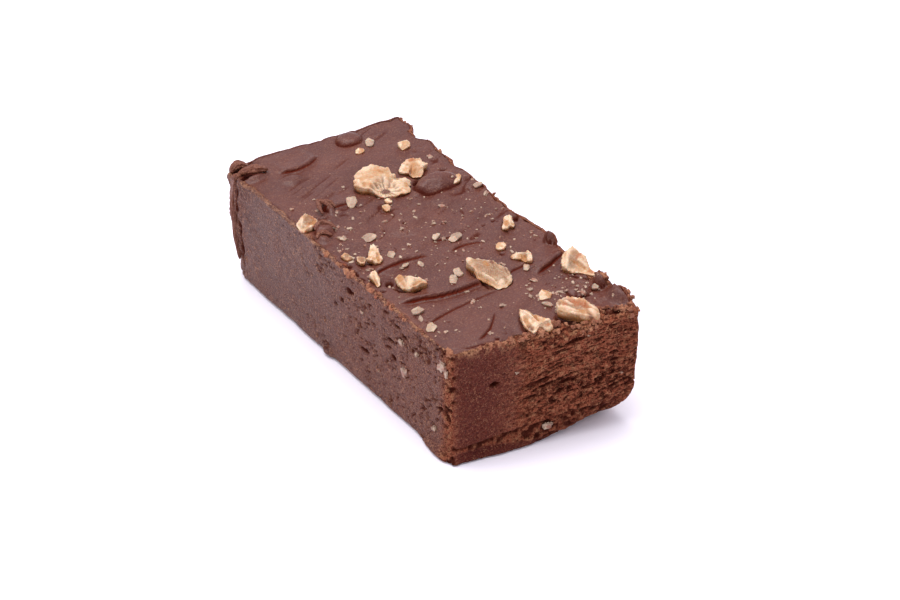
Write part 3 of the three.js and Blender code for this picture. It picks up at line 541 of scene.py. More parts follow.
def wrinkle_marks(x, y):
    """Folds over the middle part, steep and with painted shade where a noise along the knife's way passes
    zero.
    """
    along, across = knife_frame(x, y)
    wrinkled = smooth(-16, -8, y) * smooth(26, 20, y)
    fold = noise(along / 5.5, across / 2.2, 24.5)
    wrinkle = smooth(0.11, 0.0, np.abs(fold)) * smooth(-0.1, 0.4, noise(x / 4.5, y / 3.5, 25.5)) * wrinkled
    return 0.38 * wrinkled * np.sign(fold) * np.abs(fold) ** 0.5 - 0.2 * wrinkle, 0.6 * wrinkle


def pore_marks(x, y):
    """Small pores where a noise is high, with painted shade in them, and a soft grain, mostly in front of
    the fan.
    """
    pitted = smooth(26, 18, y)
    pits = smooth(0.62, 0.85, noise(x / 1.1, y / 0.9, 21.5)) * pitted
    return -0.3 * pits + (0.02 + 0.04 * pitted) * noise(x / 0.9, y / 0.8, 31.5), 0.5 * pits


def rough_marks(x, y):
    """Lumpy patches along the right side and in the front right corner, with painted shade between the
    lumps.
    """
    rough = np.maximum(smooth(13, 20, x) * smooth(44, 34, y), smooth(5, 12, x) * smooth(-34, -39, y))
    rough = rough * smooth(-0.5, 0.2, noise(x / 4, y / 4, 91.5))
    lumpy = noise(x / 1.3, y / 1.1, 92.5) + 0.5 * noise(x / 0.6, y / 0.6, 93.5)
    return 0.24 * rough * lumpy, 0.55 * rough * smooth(-0.3, -0.8, lumpy)


def corner_marks(x, y):
    """The broken back left corner, sunk under its curls, with painted shade in it."""
    corner = smooth(-18.2, -18.9, x + 0.5 * noise(y / 1.5, 1.5, 3.5)) * smooth(45.4, 46.2, y)
    return -corner * (1.5 + 0.5 * noise(x / 1.2, y / 1.2, 71.5)), 0.8 * corner


def top_detail(x, y):
    """Fine height of the top, the painted shade of each place, and the nearest knife stroke.

    The heights of all kinds of mark are added up, and the strongest painted shade counts.
    """
    lip, line = stroke_marks(x, y)
    high = nest_height(x, y) + lip
    dark = np.zeros(np.shape(x))
    for marks in (disc_marks, pit_marks, brush_marks, wrinkle_marks, pore_marks, rough_marks, corner_marks):
        rise, shade = marks(x, y)
        high = high + rise
        dark = np.maximum(dark, shade)
    return high, dark, line


def wear_at(px, py):
    """Rim radius, foot radius and added height for places on the edge of the plain rectangle."""
    front = py < ON_EDGE
    right = (px > WIDTH - ON_EDGE) & ~front
    left = (px < ON_EDGE) & ~front
    ragged = 0.5 + 0.5 * noise(px / 2.6, py / 2.6, 9.5)
    rim = RIM_RADIUS * (0.5 + 1.6 * ragged) * np.where(left, 0.6, 1.0)
    rim = np.where(front, np.interp(px, FRONT_RIM[:, 0], FRONT_RIM[:, 1]) * (0.7 + 0.6 * ragged), rim)
    rise = np.where(front, np.interp(px, FRONT_RIM[:, 0], FRONT_RIM[:, 2]), 0.0)
    rise = np.where(right, FRONT_RIM[-1, 2] * smooth(16, 2, py), rise)
    foot = np.where(front, np.interp(px, FRONT_FOOT[:, 0], FRONT_FOOT[:, 1]), FOOT_RADIUS)
    foot = np.where(right, np.interp(py, RIGHT_FOOT[:, 0], RIGHT_FOOT[:, 1]), foot)
    return rim, foot, rise


def rounded_place(px, py, inset):
    """A place on the rectangle's edge, moved inwards and round the upright corner near it."""
    is_left = px < WIDTH / 2
    front = np.where(is_left, UPRIGHT_RADIUS["front_left"], UPRIGHT_RADIUS["front_right"])
    back = np.where(is_left, UPRIGHT_RADIUS["back_left"], UPRIGHT_RADIUS["back_right"])
    kept = np.where(py < LENGTH / 2, front, back)
    turn = kept + inset
    ix, iy = np.clip(px, turn, WIDTH - turn), np.clip(py, turn, LENGTH - turn)
    out = np.stack([px - ix, py - iy], axis=-1)
    normal = out / np.linalg.norm(out, axis=-1, keepdims=True)
    across = (ix + normal[..., 0] * kept) / WIDTH
    along = (iy + normal[..., 1] * kept) / LENGTH
    return across, along, normal


def cap_push(middle, half, out, x, y, z):
    """A push that is full in the middle of an ellipsoid and dies away at its skin."""
    away = np.sqrt(sum(((v - m) / h) ** 2 for v, m, h in zip((x, y, z), middle, half)))
    return out * smooth(1.1, 0.2, away)


def faces_of(normal, low):
    """How much each place belongs to the front, back, right and left face, by its outward direction."""
    return [smooth(low, 0.9, sign * normal[..., axis]) for sign, axis in ((-1, 1), (1, 1), (1, 0), (-1, 0))]


def crack_height(x):
    """Height of the crack over the crumbly foot of the front."""
    return 4 + 0.1 * (x + 23)


def side_relief(x, y, z, normal):
    """Broad outward relief of a cut side.

    Waves all round, torn slots and a sunk band at the foot of the front, a ragged right side and a burr
    at the back of the left side are all noise, each kept to its own part. Bulges are added to them.
    """
    front, _, right, left = faces_of(normal, 0.5)
    waves = 0.25 * noise(x / 9, y / 9, z / 7) + 0.12 * noise(x / 3.5, y / 3.5, z / 3)
    torn = smooth(0.1, 0.7, noise(x / 5, 3.5, (z - 0.12 * x) / 1.8)) * smooth(-8, 4, x) * smooth(10, 14, z)
    crack = crack_height(x)
    band = smooth(crack + 0.6, crack - 0.6, z) * smooth(-21, -13, x)
    crags = noise(x / 3, y / 3.2, z / 2.6)
    burr = left * smooth(38, 48, y) * smooth(6, 26, z) * (0.5 + 0.6 * crags)
    push = waves - front * (0.7 * torn + 1.1 * band) + right * 0.7 * crags * smooth(8, 24, z) + burr
    for middle, half, out in BULGES:
        push = push + cap_push(middle, half, out, x, y, z)
    return push


def side_zones(x, y, z, normal, top):
    """Where each kind of break of the cut sides lies, as shares from 0 to 1."""
    front, back, right, left = faces_of(normal, 0.45)
    crack = crack_height(x) + 0.45 * noise(x / 1.6, 12.5, 1.5)
    foot = np.interp(x, FOOT_LIP[:, 0], FOOT_LIP[:, 1]) + 0.4 * noise(x / 1.3, 16.5, 1.5)
    band = smooth(crack + 0.25, crack - 0.35, z) * smooth(foot - 0.3, foot + 0.4, z)
    patches = noise(y / 5.0, 28.5, z / 3.4) - 0.25 * smooth(0, 30, y) + 0.12
    return {
        "front": front, "back": back, "right": right, "left": left,
        "band": band * smooth(-23.5, -19, x),
        "crack": np.exp(-((z - crack) / 0.3) ** 2) * smooth(-23, -21, x),
        "above_foot": smooth(foot - 0.6, foot + 0.5, z),
        "slotted": smooth(-9, 2, x) * smooth(9, 14, z) * smooth(29.6, 27, z),
        "spongy": smooth(-13, 0, x) * smooth(3, 8, z) * smooth(21, 15, z),
        "right_half": smooth(-10, 0, x),
        "lip": smooth(top - 3.4, top - 0.6, z),
        "left_front": smooth(14, -10, y),
        "left_patches": smooth(0.1, 0.5, patches),
        "front_corner": np.exp(-((x + 22.8) / 1.3) ** 2) * smooth(-40, -45, y),
        "back_burr": smooth(43, 49, y) * smooth(-20, -24, x),
    }


def side_torn(zone, x, y, z):
    """How torn each place of the cut sides is, most in the front's right half and in its crumbly band."""
    front = (0.12 + 0.58 * smooth(-15, -2, x)) * zone["above_foot"]
    front = front + 0.4 * np.maximum(zone["slotted"], zone["spongy"])
    front = front + 0.9 * zone["band"] + 0.5 * zone["lip"] * zone["right_half"]
    right = 0.4 + 0.3 * smooth(-0.2, 0.4, noise(y / 9, 1.5, z / 6))
    left = 0.16 + 0.14 * zone["left_front"]
    torn = zone["front"] * front + zone["right"] * right + zone["back"] * 0.3 + zone["left"] * left
    return np.clip(torn + 0.6 * zone["front_corner"] + 0.1 * zone["back_burr"], 0, 1)


def side_pits(zone, face, x, y, z):
    """Depth of all that is torn out of the cut sides.

    Slots are noise drawn out along the knife's way and kept where it is high. Pores are the same left
    round, and the named holes are added to them.
    """
    slant = z - 0.14 * x + 0.5 * noise(x / 4, 1.5, z / 3)
    slots = smooth(0.2, 0.5, noise(x / 3.4, 5.5, slant / 0.55)) * (0.1 + 0.9 * zone["slotted"])
    fine_slots = smooth(0.25, 0.55, noise(x / 1.3, 6.5, slant / 0.4)) * smooth(-16, 0, x)
    sponge = smooth(0.12, 0.5, noise(x / 0.85, 7.5, (z - 0.3 * x) / 0.6)) * zone["spongy"]
    pores = smooth(0.3, 0.6, noise(face / 0.62, 8.5, z / 0.55))
    left_pits = smooth(0.36, 0.62, noise(y / 0.95, 18.5, (z + 0.35 * y) / 0.55))
    left_pits = left_pits * (0.12 + 0.88 * zone["left_front"])
    crumbled = zone["left_patches"] * smooth(-0.1, 0.45, noise(y / 0.8, 38.5, z / 0.7)) * smooth(30, 2, y)
    rough = smooth(0.2, 0.7, noise(face / 1.6, 9.5, z / 1.1))
    front_pits = 0.95 * slots + 0.5 * fine_slots + 0.6 * sponge + 0.5 * zone["crack"] + 0.22 * pores
    left_pits = 0.45 * left_pits + 0.14 * pores + 0.45 * crumbled
    depth = zone["front"] * front_pits + zone["left"] * left_pits
    depth = depth + (zone["right"] + 0.7 * zone["back"]) * 0.6 * rough
    for middle, half, out in HOLES:
        depth = depth + cap_push(middle, half, out, x, y, z)
    return depth


def side_dust(zone, face, x, y, z, top):
    """Share of tan dust along the ragged upper rim of the cut sides."""
    front = zone["front"]
    rim = smooth(top - 0.8 - 0.8 * front, top - 0.15, z + (0.4 + 0.5 * front) * noise(face / 1.1, 2.5, 8.5))
    share = front * 0.9 * (1 - 0.45 * zone["right_half"]) + zone["right"] * 0.35
    share = share + zone["left"] * (0.45 + 0.3 * smooth(20, 5, y))
    return rim * share * smooth(-0.5, 0.3, noise(x / 1.4, y / 1.4, 5.5))


def side_detail(x, y, z, normal, top):
    """Fine outward relief of a cut side, and its masks.

    The grain is noise of crumb size whose height follows how torn the side is. Pits, chips at the front
    corner and a groove before the back burr are taken away from it, and get painted shade, as do the gaps
    of the crumbly band and the hollows of the burr's bark. Dust lies on its peaks.
    """
    zone = side_zones(x, y, z, normal, top)
    front, left, burr = zone["front"], zone["left"], zone["back_burr"]
    face = np.where(front + zone["back"] > 0.5, x, y)
    torn = side_torn(zone, x, y, z)
    pits = side_pits(zone, face, x, y, z)
    groove = left * np.exp(-((y - 47.6 - 0.3 * noise(z / 2, 1.5, 6.5)) / 0.45) ** 2) * smooth(2, 9, z)
    chips = zone["front_corner"] * smooth(0.1, 0.6, noise(x / 1.5, y / 1.5, z / 1.3 + 4.5))
    depth = pits + 0.8 * groove + 0.9 * chips
    crumb = noise(x / 0.75, y / 0.75, z / 0.7)
    fine_crumb = noise(x / 0.42 + 9, y / 0.42, z / 0.42)
    bark = burr * 0.7 * noise(x / 1.2, y / 1.2, z / 2.4)
    clods = noise(face / 1.3, 2.5, z / 1.0) + 0.5 * noise(face / 0.6, 3.5, z / 0.55)
    band = zone["band"] * front
    rise = (0.02 + 0.15 * torn) * crumb + (0.01 + 0.1 * torn) * fine_crumb + bark + 0.45 * band * clods
    peaks = smooth(0.1, 0.6, crumb + 0.5 * fine_crumb)
    dusted = side_dust(zone, face, x, y, z, top)
    dusted = np.maximum(dusted, (0.9 * torn - 0.2) * peaks * (1 - np.clip(pits, 0, 1)))
    edges = 0.12 * zone["front_corner"] + 0.3 * left * zone["left_patches"] + 0.45 * front * zone["lip"]
    deep = depth / 0.75 + band * (0.2 + 0.9 * smooth(0.15, -0.45, clods))
    deep = deep + 0.6 * burr * smooth(0.1, 0.5, -bark)
    return rise - depth, {
        "torn": torn,
        "deep": np.clip(deep, 0, 1.3),
        "dusted": np.clip(dusted + edges * peaks, 0, 1),
        # The left face, and a little of the back, get a greyer colour as a painted sheen.
        "pale": np.clip(left + 0.3 * zone["back"], 0, 1),
        "slotted": front * np.clip(0.15 + 0.85 * smooth(-14, 0, x), 0, 1) * smooth(6, 11, z),
    }


def side_places(px, py, share, arc):
    """Points of the cut sides for places on the rectangle's edge and shares of the height.

    At share 1 the arc runs from 0 to 1 over the rounded top edge. Returns points and masks.
    """
    rim, foot, rise = wear_at(px, py)
    across, along, _ = rounded_place(px, py, rim)
    brink = plan_place(across, along, 1.0)
    top = HEIGHT + rise + top_relief(brink[..., 0], brink[..., 1])
    turn = arc * math.pi / 2
    z = share * (top - rim) + rim * np.sin(turn)
    low = np.clip(foot - z, 0, foot)
    inset = foot - np.sqrt(foot ** 2 - low ** 2) + rim * (1 - np.cos(turn))
    across, along, normal = rounded_place(px, py, inset)
    place = plan_place(across, along, np.clip(z / HEIGHT, 0, 1))
    push = side_relief(place[..., 0], place[..., 1], z, normal)
    detail, masks = side_detail(place[..., 0], place[..., 1], z, normal, top)
    push = push + detail * smooth(-0.2, 1.2, z)
    points = np.concatenate([place + normal * push[..., None], z[..., None]], axis=-1)
    return points, masks


def crowded_steps(count):
    """Even steps from 0 to 1, drawn closer together near both ends."""
    t = np.arange(count + 1) / count
    return t - EDGE_CROWDING * np.sin(2 * np.pi * t) / (2 * np.pi)


def edge_places():
    """The places round the rectangle's edge, from the front left corner along the front."""
    xs, ys = crowded_steps(STEPS_X) * WIDTH, crowded_steps(STEPS_Y) * LENGTH
    px = np.concatenate([xs[:-1], np.full(STEPS_Y, WIDTH), xs[:0:-1], np.zeros(STEPS_Y)])
    py = np.concatenate([np.zeros(STEPS_X), ys[:-1], np.full(STEPS_X, LENGTH), ys[:0:-1]])
    return px, py


def top_edge_rise(u, v):
    """Added height near the front edge and the front right corner, dying away over the top."""
    front = np.interp(u * WIDTH, FRONT_RIM[:, 0], FRONT_RIM[:, 2]) * smooth(0.09, 0, v)
    corner = FRONT_RIM[-1, 2] * smooth(0.8, 1, u) * smooth(16, 2, v * LENGTH)
    return np.where(np.abs(front) > corner, front, corner)


def ring_numbers():
    """Number in the ring of edge places for each place on the edge of the top's grid, and -1 inside."""
    number = np.full((STEPS_X + 1, STEPS_Y + 1), -1)
    number[:, 0] = np.arange(STEPS_X + 1)
    number[STEPS_X, :] = STEPS_X + np.arange(STEPS_Y + 1)
    number[:, STEPS_Y] = 2 * STEPS_X + STEPS_Y - np.arange(STEPS_X + 1)
    number[0, 1:] = 2 * STEPS_X + 2 * STEPS_Y - np.arange(1, STEPS_Y + 1)
    return number


def blended_plan(ring, number, u, v):
    """Places in plan of the top's grid, blended from the four edges of the ring (a Coons patch)."""
    left, right = ring[number[0, :]][None], ring[number[STEPS_X, :]][None]
    near, far = ring[number[:, 0]][:, None], ring[number[:, STEPS_Y]][:, None]
    u, v = u[..., None], v[..., None]
    edges = left * (1 - u) + right * u + near * (1 - v) + far * v
    corners = (near[:1] * (1 - u) + near[-1:] * u) * (1 - v) + (far[:1] * (1 - u) + far[-1:] * u) * v
    return edges - corners


def rim_crumble(x, y, from_left, from_side, inward):
    """Broken strips behind the front and the side rims: added height, and masks.

    Clumps are three noises added up, high ones dusted and low ones given painted shade. A groove with
    painted shade in it runs behind the lip of the front's left half.
    """
    side_strip = smooth(2.4, 0.2, from_side) * smooth(24, 8, y)
    side_strip = side_strip * smooth(-0.4, 0.5, noise(x / 2.2, y / 2.2, 41.5))
    from_front = (y - front_edge(x)) * FRONT_SQUARE
    share = from_front / np.interp(x, FRONT_BROKEN[:, 0], FRONT_BROKEN[:, 1])
    front_strip = smooth(1.0, 0.55, share + 0.3 * noise(x / 1.5, y / 1.5, 43.5))
    ragged = np.clip(side_strip + front_strip, 0, 1)
    groove = np.exp(-((from_front - 1.9 - 0.5 * noise(x / 3, 1.5, 2.5)) / 0.5) ** 2)
    groove = groove * smooth(-20, -17, x) * smooth(-6, -10, x)
    clumps = 0.55 * noise(x / 1.9, y / 1.9, 51.5) + 0.45 * noise(x / 0.95, y / 0.95, 61.5)
    clumps = clumps + 0.3 * noise(x / 0.5, y / 0.5, 63.5)
    high = ragged * (1.3 * clumps - 0.35) * smooth(0, 0.9, inward) - 0.5 * groove
    dark = np.maximum(0.7 * groove, 1.2 * ragged * smooth(0.12, -0.22, clumps))
    left_rim = smooth(1.2, 0.3, from_left) * smooth(-0.2, 0.4, noise(x / 1.3, y / 1.3, 44.5))
    dusted = np.maximum(0.65 * ragged * smooth(0.15, 0.6, clumps), 0.6 * left_rim)
    return high, {"torn": ragged, "deep": dark, "dusted": np.clip(dusted, 0, 1)}


def top_surface(ring, number):
    """Points and masks of the top, on a grid between the edges of the ring."""
    i, j = np.meshgrid(np.arange(STEPS_X + 1), np.arange(STEPS_Y + 1), indexing="ij")
    from_left = i * WIDTH / STEPS_X
    from_side = np.minimum(i, STEPS_X - i) * WIDTH / STEPS_X
    inward = np.minimum(from_side, np.minimum(j, STEPS_Y - j) * LENGTH / STEPS_Y)
    u, v = crowded_steps(STEPS_X)[:, None], crowded_steps(STEPS_Y)[None, :]
    plan = blended_plan(ring, number, u, v)
    x, y = plan[..., 0], plan[..., 1]
    fine, dark, line = top_detail(x, y)
    crumbled, masks = rim_crumble(x, y, from_left, from_side, inward)
    z = HEIGHT + top_relief(x, y) + top_edge_rise(u, v) + fine * smooth(0, 1.0, inward) + crumbled
    # The painted shade of the top's marks goes into the deep mask.
    masks["deep"] = np.maximum(masks["deep"], dark)
    masks.update(line, pale=0 * x, slotted=0 * x, upper=smooth(0, 1.5, inward))
    return np.stack([x, y, z], axis=-1), masks


def bar_surface():
    """The whole bar: rings of the cut sides, the top laid between the last ring, and a flat foot."""
    px, py = edge_places()
    count = len(px)
    share = np.concatenate([np.linspace(0, 1, SIDE_ROWS + 1) ** 0.92, np.ones(RIM_STEPS)])[:, None]
    arc = np.concatenate([np.zeros(SIDE_ROWS + 1), np.arange(1, RIM_STEPS + 1) / RIM_STEPS])[:, None]
    levels = len(share)
    sides, side_masks = side_places(px[None, :], py[None, :], share, arc)
    none = np.zeros((levels, count))
    side_masks.update(line_off=none + NO_STROKE, line_depth=none, upper=none)
    number = ring_numbers()
    top, top_masks = top_surface(sides[-1, :, :2], number)
    inner = number < 0
    grid = (levels - 1) * count + number
    grid[inner] = levels * count + np.arange(inner.sum())
    centre = np.append(sides[0, :, :2].mean(axis=0), 0.0)[None]
    points = np.concatenate([sides.reshape(-1, 3), top[inner], centre])
    # The rings run upwards, so that their faces go round the other way.
    walls = ring_faces(levels, count)[:, [0, 3, 2, 1]]
    roof = np.stack([grid[:-1, :-1], grid[1:, :-1], grid[1:, 1:], grid[:-1, 1:]], axis=-1).reshape(-1, 4)
    a = np.arange(count)
    foot = np.stack([(a + 1) % count, a, np.full(count, len(points) - 1)], axis=-1)
    masks = {name: np.concatenate([side_masks[name].reshape(-1), top_masks[name][inner], [0.0]])
             for name in top_masks}
    return points, [walls, roof, foot], masks


def make_piece(name, points, face_groups, material, masks, smooth_faces=True):
    """A mesh object from points in millimetres and groups of faces, kept inside the bar's own box."""
    place = np.clip((points - MIDDLE) * MM, np.array(CAD_BOX[0]), np.array(CAD_BOX[1]))
    mesh = bpy.data.meshes.new(name)
    sizes = np.concatenate([np.full(len(group), group.shape[1]) for group in face_groups])
    corners = np.concatenate([group.reshape(-1) for group in face_groups])
    mesh.vertices.add(len(place))
    mesh.vertices.foreach_set("co", place.reshape(-1))
    mesh.loops.add(len(corners))
    mesh.loops.foreach_set("vertex_index", corners.astype(np.int32))
    mesh.polygons.add(len(sizes))
    mesh.polygons.foreach_set("loop_start", np.concatenate([[0], np.cumsum(sizes)[:-1]]).astype(np.int32))
    mesh.polygons.foreach_set("use_smooth", np.full(len(sizes), smooth_faces))
    mesh.update(calc_edges=True)
    for mask, values in masks.items():
        layer = mesh.attributes.new(mask, "FLOAT", "POINT")
        layer.data.foreach_set("value", np.asarray(values, np.float32))
    closed = bmesh.new()
    closed.from_mesh(mesh)
    bmesh.ops.remove_doubles(closed, verts=closed.verts, dist=SAME_PLACE * MM)
    closed.to_mesh(mesh)
    closed.free()
    mesh.validate()
    mesh.materials.append(material)
    piece = bpy.data.objects.new(name, mesh)
    bpy.context.scene.collection.objects.link(piece)
    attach(piece, "root")
    return piece


def ring_faces(rows, spokes):
    """Faces of rows of points that close round, for rows that run downwards."""
    a = np.arange(spokes)
    b = (a + 1) % spokes
    lift = np.arange(rows - 1)[:, None] * spokes
    return np.stack([lift + a, lift + spokes + a, lift + spokes + b, lift + b], axis=-1).reshape(-1, 4)


def facet_height(x, y, heart, reach, high):
    """Height of a broken crown, and the tone of each of its planes.

    It is the lowest of a few planes tilted from the heart, less a few round scoops.
    """
    lowest, tone = np.full(x.shape, 1e9), np.zeros(x.shape)
    for k in range(WALNUT_FACETS):
        draw = draws((k, int(heart[0] * 10)), 0, 1, 2, 3)
        aim = 2 * math.pi * (k + 0.8 * draw[0]) / WALNUT_FACETS
        slope = (0.08 + 0.7 * draw[1] ** 2) * high / reach
        away = (x - heart[0]) * math.cos(aim) + (y - heart[1]) * math.sin(aim)
        plane = high * (0.8 + 0.35 * draw[2]) - slope * away
        tone = np.where(plane < lowest, draw[3], tone)
        lowest = np.minimum(lowest, plane)
    for k in range(WALNUT_SCOOPS):
        draw = draws((k + 20, int(heart[1] * 10)), 0, 1, 2)
        aim, off = 2 * math.pi * draw[0], 0.75 * reach * draw[1]
        away = np.hypot(x - heart[0] - off * math.cos(aim), y - heart[1] - off * math.sin(aim))
        lowest = lowest - (0.03 + 0.1 * draw[2]) * high * np.clip(1 - (away / (0.42 * reach)) ** 2, 0, 1)
    return lowest, tone


def fibre_relief(fibres, x, y):
    """Fibres that run out from a hollow, as waves of the angle round it.

    Gives the depth below the crown, and masks for the gaps, the pale fibres and the hollow.
    """
    (mx, my), inner, outer, deep = fibres
    away = np.hypot(x - mx, y - my) + 0.35 * noise(x / 0.8, y / 0.8, 81.5)
    angle = np.arctan2(y - my, x - mx)
    ring = smooth(outer, 0.7 * outer, away)
    rays = np.sin(angle * 15 + 2.2 * noise(x / 1.4, y / 1.4, 82.5) + 1.2 * np.sin(angle * 4))
    down = deep * smooth(outer, inner, away) ** 0.8 - 0.24 * rays * ring * smooth(0.4 * inner, inner, away)
    hole = smooth(1.15 * inner, 0.75 * inner, away)
    return down + 0.8 * hole, ring * smooth(0.25, -0.5, rays), ring * smooth(-0.1, 0.6, rays), hole


def section_rows(rows):
    """The walnut section in even steps along its line: share of the outline and share of the height."""
    run = np.concatenate([[0], np.cumsum(np.hypot(*np.diff(WALNUT_SECTION, axis=0).T))])
    where = np.linspace(0, run[-1], rows)
    return [np.interp(where, run, WALNUT_SECTION[:, column])[:, None] for column in (0, 1)]


def kernel_marks(marks, fibres, rim, x, y):
    """Height that the marks and fibres of a walnut piece add to its crown, and the mask of each tone."""
    rise = np.zeros(x.shape)
    masks = {name: np.zeros(x.shape) for name in MARK_TONES}
    for mx, my, length, width, turn, high, name in marks:
        away = turned_distance(x, y, mx, my, length, width, turn) + 0.3 * noise(x / 0.8, y / 0.8, 5.5)
        mark = smooth(1.3, 0.5, away)
        rise = rise + high * mark
        masks[name] = np.maximum(masks[name], mark)
    # A thin pale line along the crown's edge is a painted highlight.
    masks["pale"] = np.maximum(masks["pale"], 0.5 * rim)
    if fibres:
        down, gap, light, hole = fibre_relief(fibres, x, y)
        rise = rise - down
        for name, mask in (("hollow", gap), ("pale", light), ("chocolate", hole)):
            masks[name] = np.maximum(masks[name], mask)
    return rise, masks


def kernel_surface(heart, high, deep, lean, outline, marks, fibres, spokes, rows):
    """A piece of nut: the section carried round its heart, a crown of broken planes, and its marks.

    Each row is the outline times the section's share. Noise roughens it, ribs notch its outer edge.
    """
    angle = 2 * np.pi * (np.arange(spokes) + 0.5) / spokes
    reach = outline_reach(heart, outline, angle)
    reach = (np.roll(reach, 1) + 4 * reach + np.roll(reach, -1)) / 6
    out, share = section_rows(rows)
    x, y = out * reach * np.cos(angle), out * reach * np.sin(angle)
    jag = noise(x / 0.9 + heart[1], y / 0.9, share * 1.5 + 3.5)
    lobes = noise(x / 2.3 + heart[0], y / 2.3 + heart[1], share * 1.4)
    grain = noise(x / 0.45, y / 0.45 + heart[0], share * 4)
    size = min(1.0, high / 1.6)
    ribs = size * np.sin(angle * 25 + 3.0 * lobes) * smooth(0.75, 0.95, out) * smooth(0.2, 0.8, share)
    spread = 1.02 + out * (0.03 * lobes + 0.022 * ribs + 0.05 * jag + 0.03 * grain)
    x = heart[0] + x * spread
    y = heart[1] + y * spread
    crown, tone = facet_height(x, y, heart, reach.mean(), high)
    tilt = (x - heart[0]) * lean[0] + (y - heart[1]) * lean[1]
    # The crown's outer edge, which gets a painted highlight in the pale mask.
    rim = np.exp(-((out - 0.94) / 0.05) ** 2) * (share > 0.5) * smooth(-0.7, 0.2, lobes)
    rise, masks = kernel_marks(marks, fibres, rim, x, y)
    up = crown + tilt + size * (0.09 * lobes + 0.12 * jag + 0.13 * grain + 0.05 * ribs) + rise
    base = HEIGHT + float(top_relief(np.array(heart[0]), np.array(heart[1])))
    z = base + np.where(share > 0, share * np.maximum(up, 0.12 * high), share * deep)
    z = np.where(out < ON_EDGE, z.mean(axis=1, keepdims=True), z)
    # The side mask carries painted shade down the sides of the piece, darkest at its foot.
    masks["side"] = smooth(0.8, 0.1, share) + 0 * x
    masks["patch"] = np.clip(tone + 0.35 * noise(x / 1.2, y / 1.2, z + 70), 0, 1)
    points = np.stack([x, y, z], axis=-1)
    return points.reshape(-1, 3), ring_faces(rows, spokes), {k: m.reshape(-1) for k, m in masks.items()}


def crumb_outline(x, y, length, width, turn, seed):
    """Six or seven uneven corners round a turned ellipse."""
    corners = 6 + seed % 2
    c, k = math.cos(math.radians(turn)), math.sin(math.radians(turn))
    outline = []
    for corner in range(corners):
        step, size = draws((corner, seed), 11, 12)
        aim = 2 * math.pi * (corner + 0.6 * step) / corners
        grow = 0.8 + 0.45 * size
        a, b = length * grow * math.cos(aim), width * grow * math.sin(aim)
        outline.append((x + a * c - b * k, y + a * k + b * c))
    return outline


def joined(parts):
    """One mesh's points, faces and masks from several."""
    points, faces, masks, start = [], [], {}, 0
    for part_points, part_faces, part_masks in parts:
        points.append(part_points)
        faces.append(part_faces + start)
        for name, values in part_masks.items():
            masks.setdefault(name, []).append(values)
        start += len(part_points)
    return np.concatenate(points), np.concatenate(faces), {k: np.concatenate(v) for k, v in masks.items()}


# One grain: points round and rows from pole to pole of a ball, and how flat its sides are.
GRAIN_SPOKES = 8
GRAIN_ROWS = 6
GRAIN_FLAT = 0.3


def grain_cloud(places, halves, turns, seeds):
    """Many grains in one mesh: a ball of few faces, stretched, turned and made uneven for each place."""
    down = np.linspace(0, np.pi, GRAIN_ROWS)[:, None]
    around = (2 * np.pi * np.arange(GRAIN_SPOKES) / GRAIN_SPOKES)[None, :]
    ball = [np.sin(down) * np.cos(around), np.sin(down) * np.sin(around), np.cos(down) + 0 * around]
    ball = np.stack(ball, -1).reshape(1, -1, 3)
    ball = np.sign(ball) * np.abs(ball) ** (1 - GRAIN_FLAT)
    per_grain = ball.shape[1]
    number, seed = np.meshgrid(np.arange(per_grain), seeds)
    jag = 0.58 + 0.84 * scatter(number, seed, np.full(number.shape, 3))
    poles = (number < GRAIN_SPOKES) | (number >= per_grain - GRAIN_SPOKES)
    jag = np.where(poles, 0.9, jag)
    shape = ball * jag[..., None] * halves[:, None, :]
    points = np.einsum("nij,nkj->nki", turns, shape) + places[:, None, :]
    first = (np.arange(len(places)) * per_grain)[:, None, None]
    faces = (ring_faces(GRAIN_ROWS, GRAIN_SPOKES)[None] + first).reshape(-1, 4)
    tint = np.repeat(scatter(seeds, np.full(seeds.shape, 5), np.full(seeds.shape, 7)), per_grain)
    return points.reshape(-1, 3), faces, {"tint": tint}


def turned(rng, count, tilt):
    """Random turns about Z with a small lean about X and Y, as one 3 by 3 matrix each."""
    spin = rng.uniform(0, 2 * np.pi, count)
    lean = rng.uniform(-tilt, tilt, count)
    aim = rng.uniform(-tilt, tilt, count)
    turn = np.broadcast_to(np.eye(3), (count, 3, 3))
    for angle, (first, second) in ((spin, (0, 1)), (lean, (1, 2)), (aim, (2, 0))):
        step = np.tile(np.eye(3), (count, 1, 1))
        step[:, first, first] = step[:, second, second] = np.cos(angle)
        step[:, first, second] = -np.sin(angle)
        step[:, second, first] = np.sin(angle)
        turn = turn @ step
    return turn


def top_height(x, y):
    """Height of the finished top at places well inside the rim."""
    return HEIGHT + top_relief(x, y) + top_detail(x, y)[0]


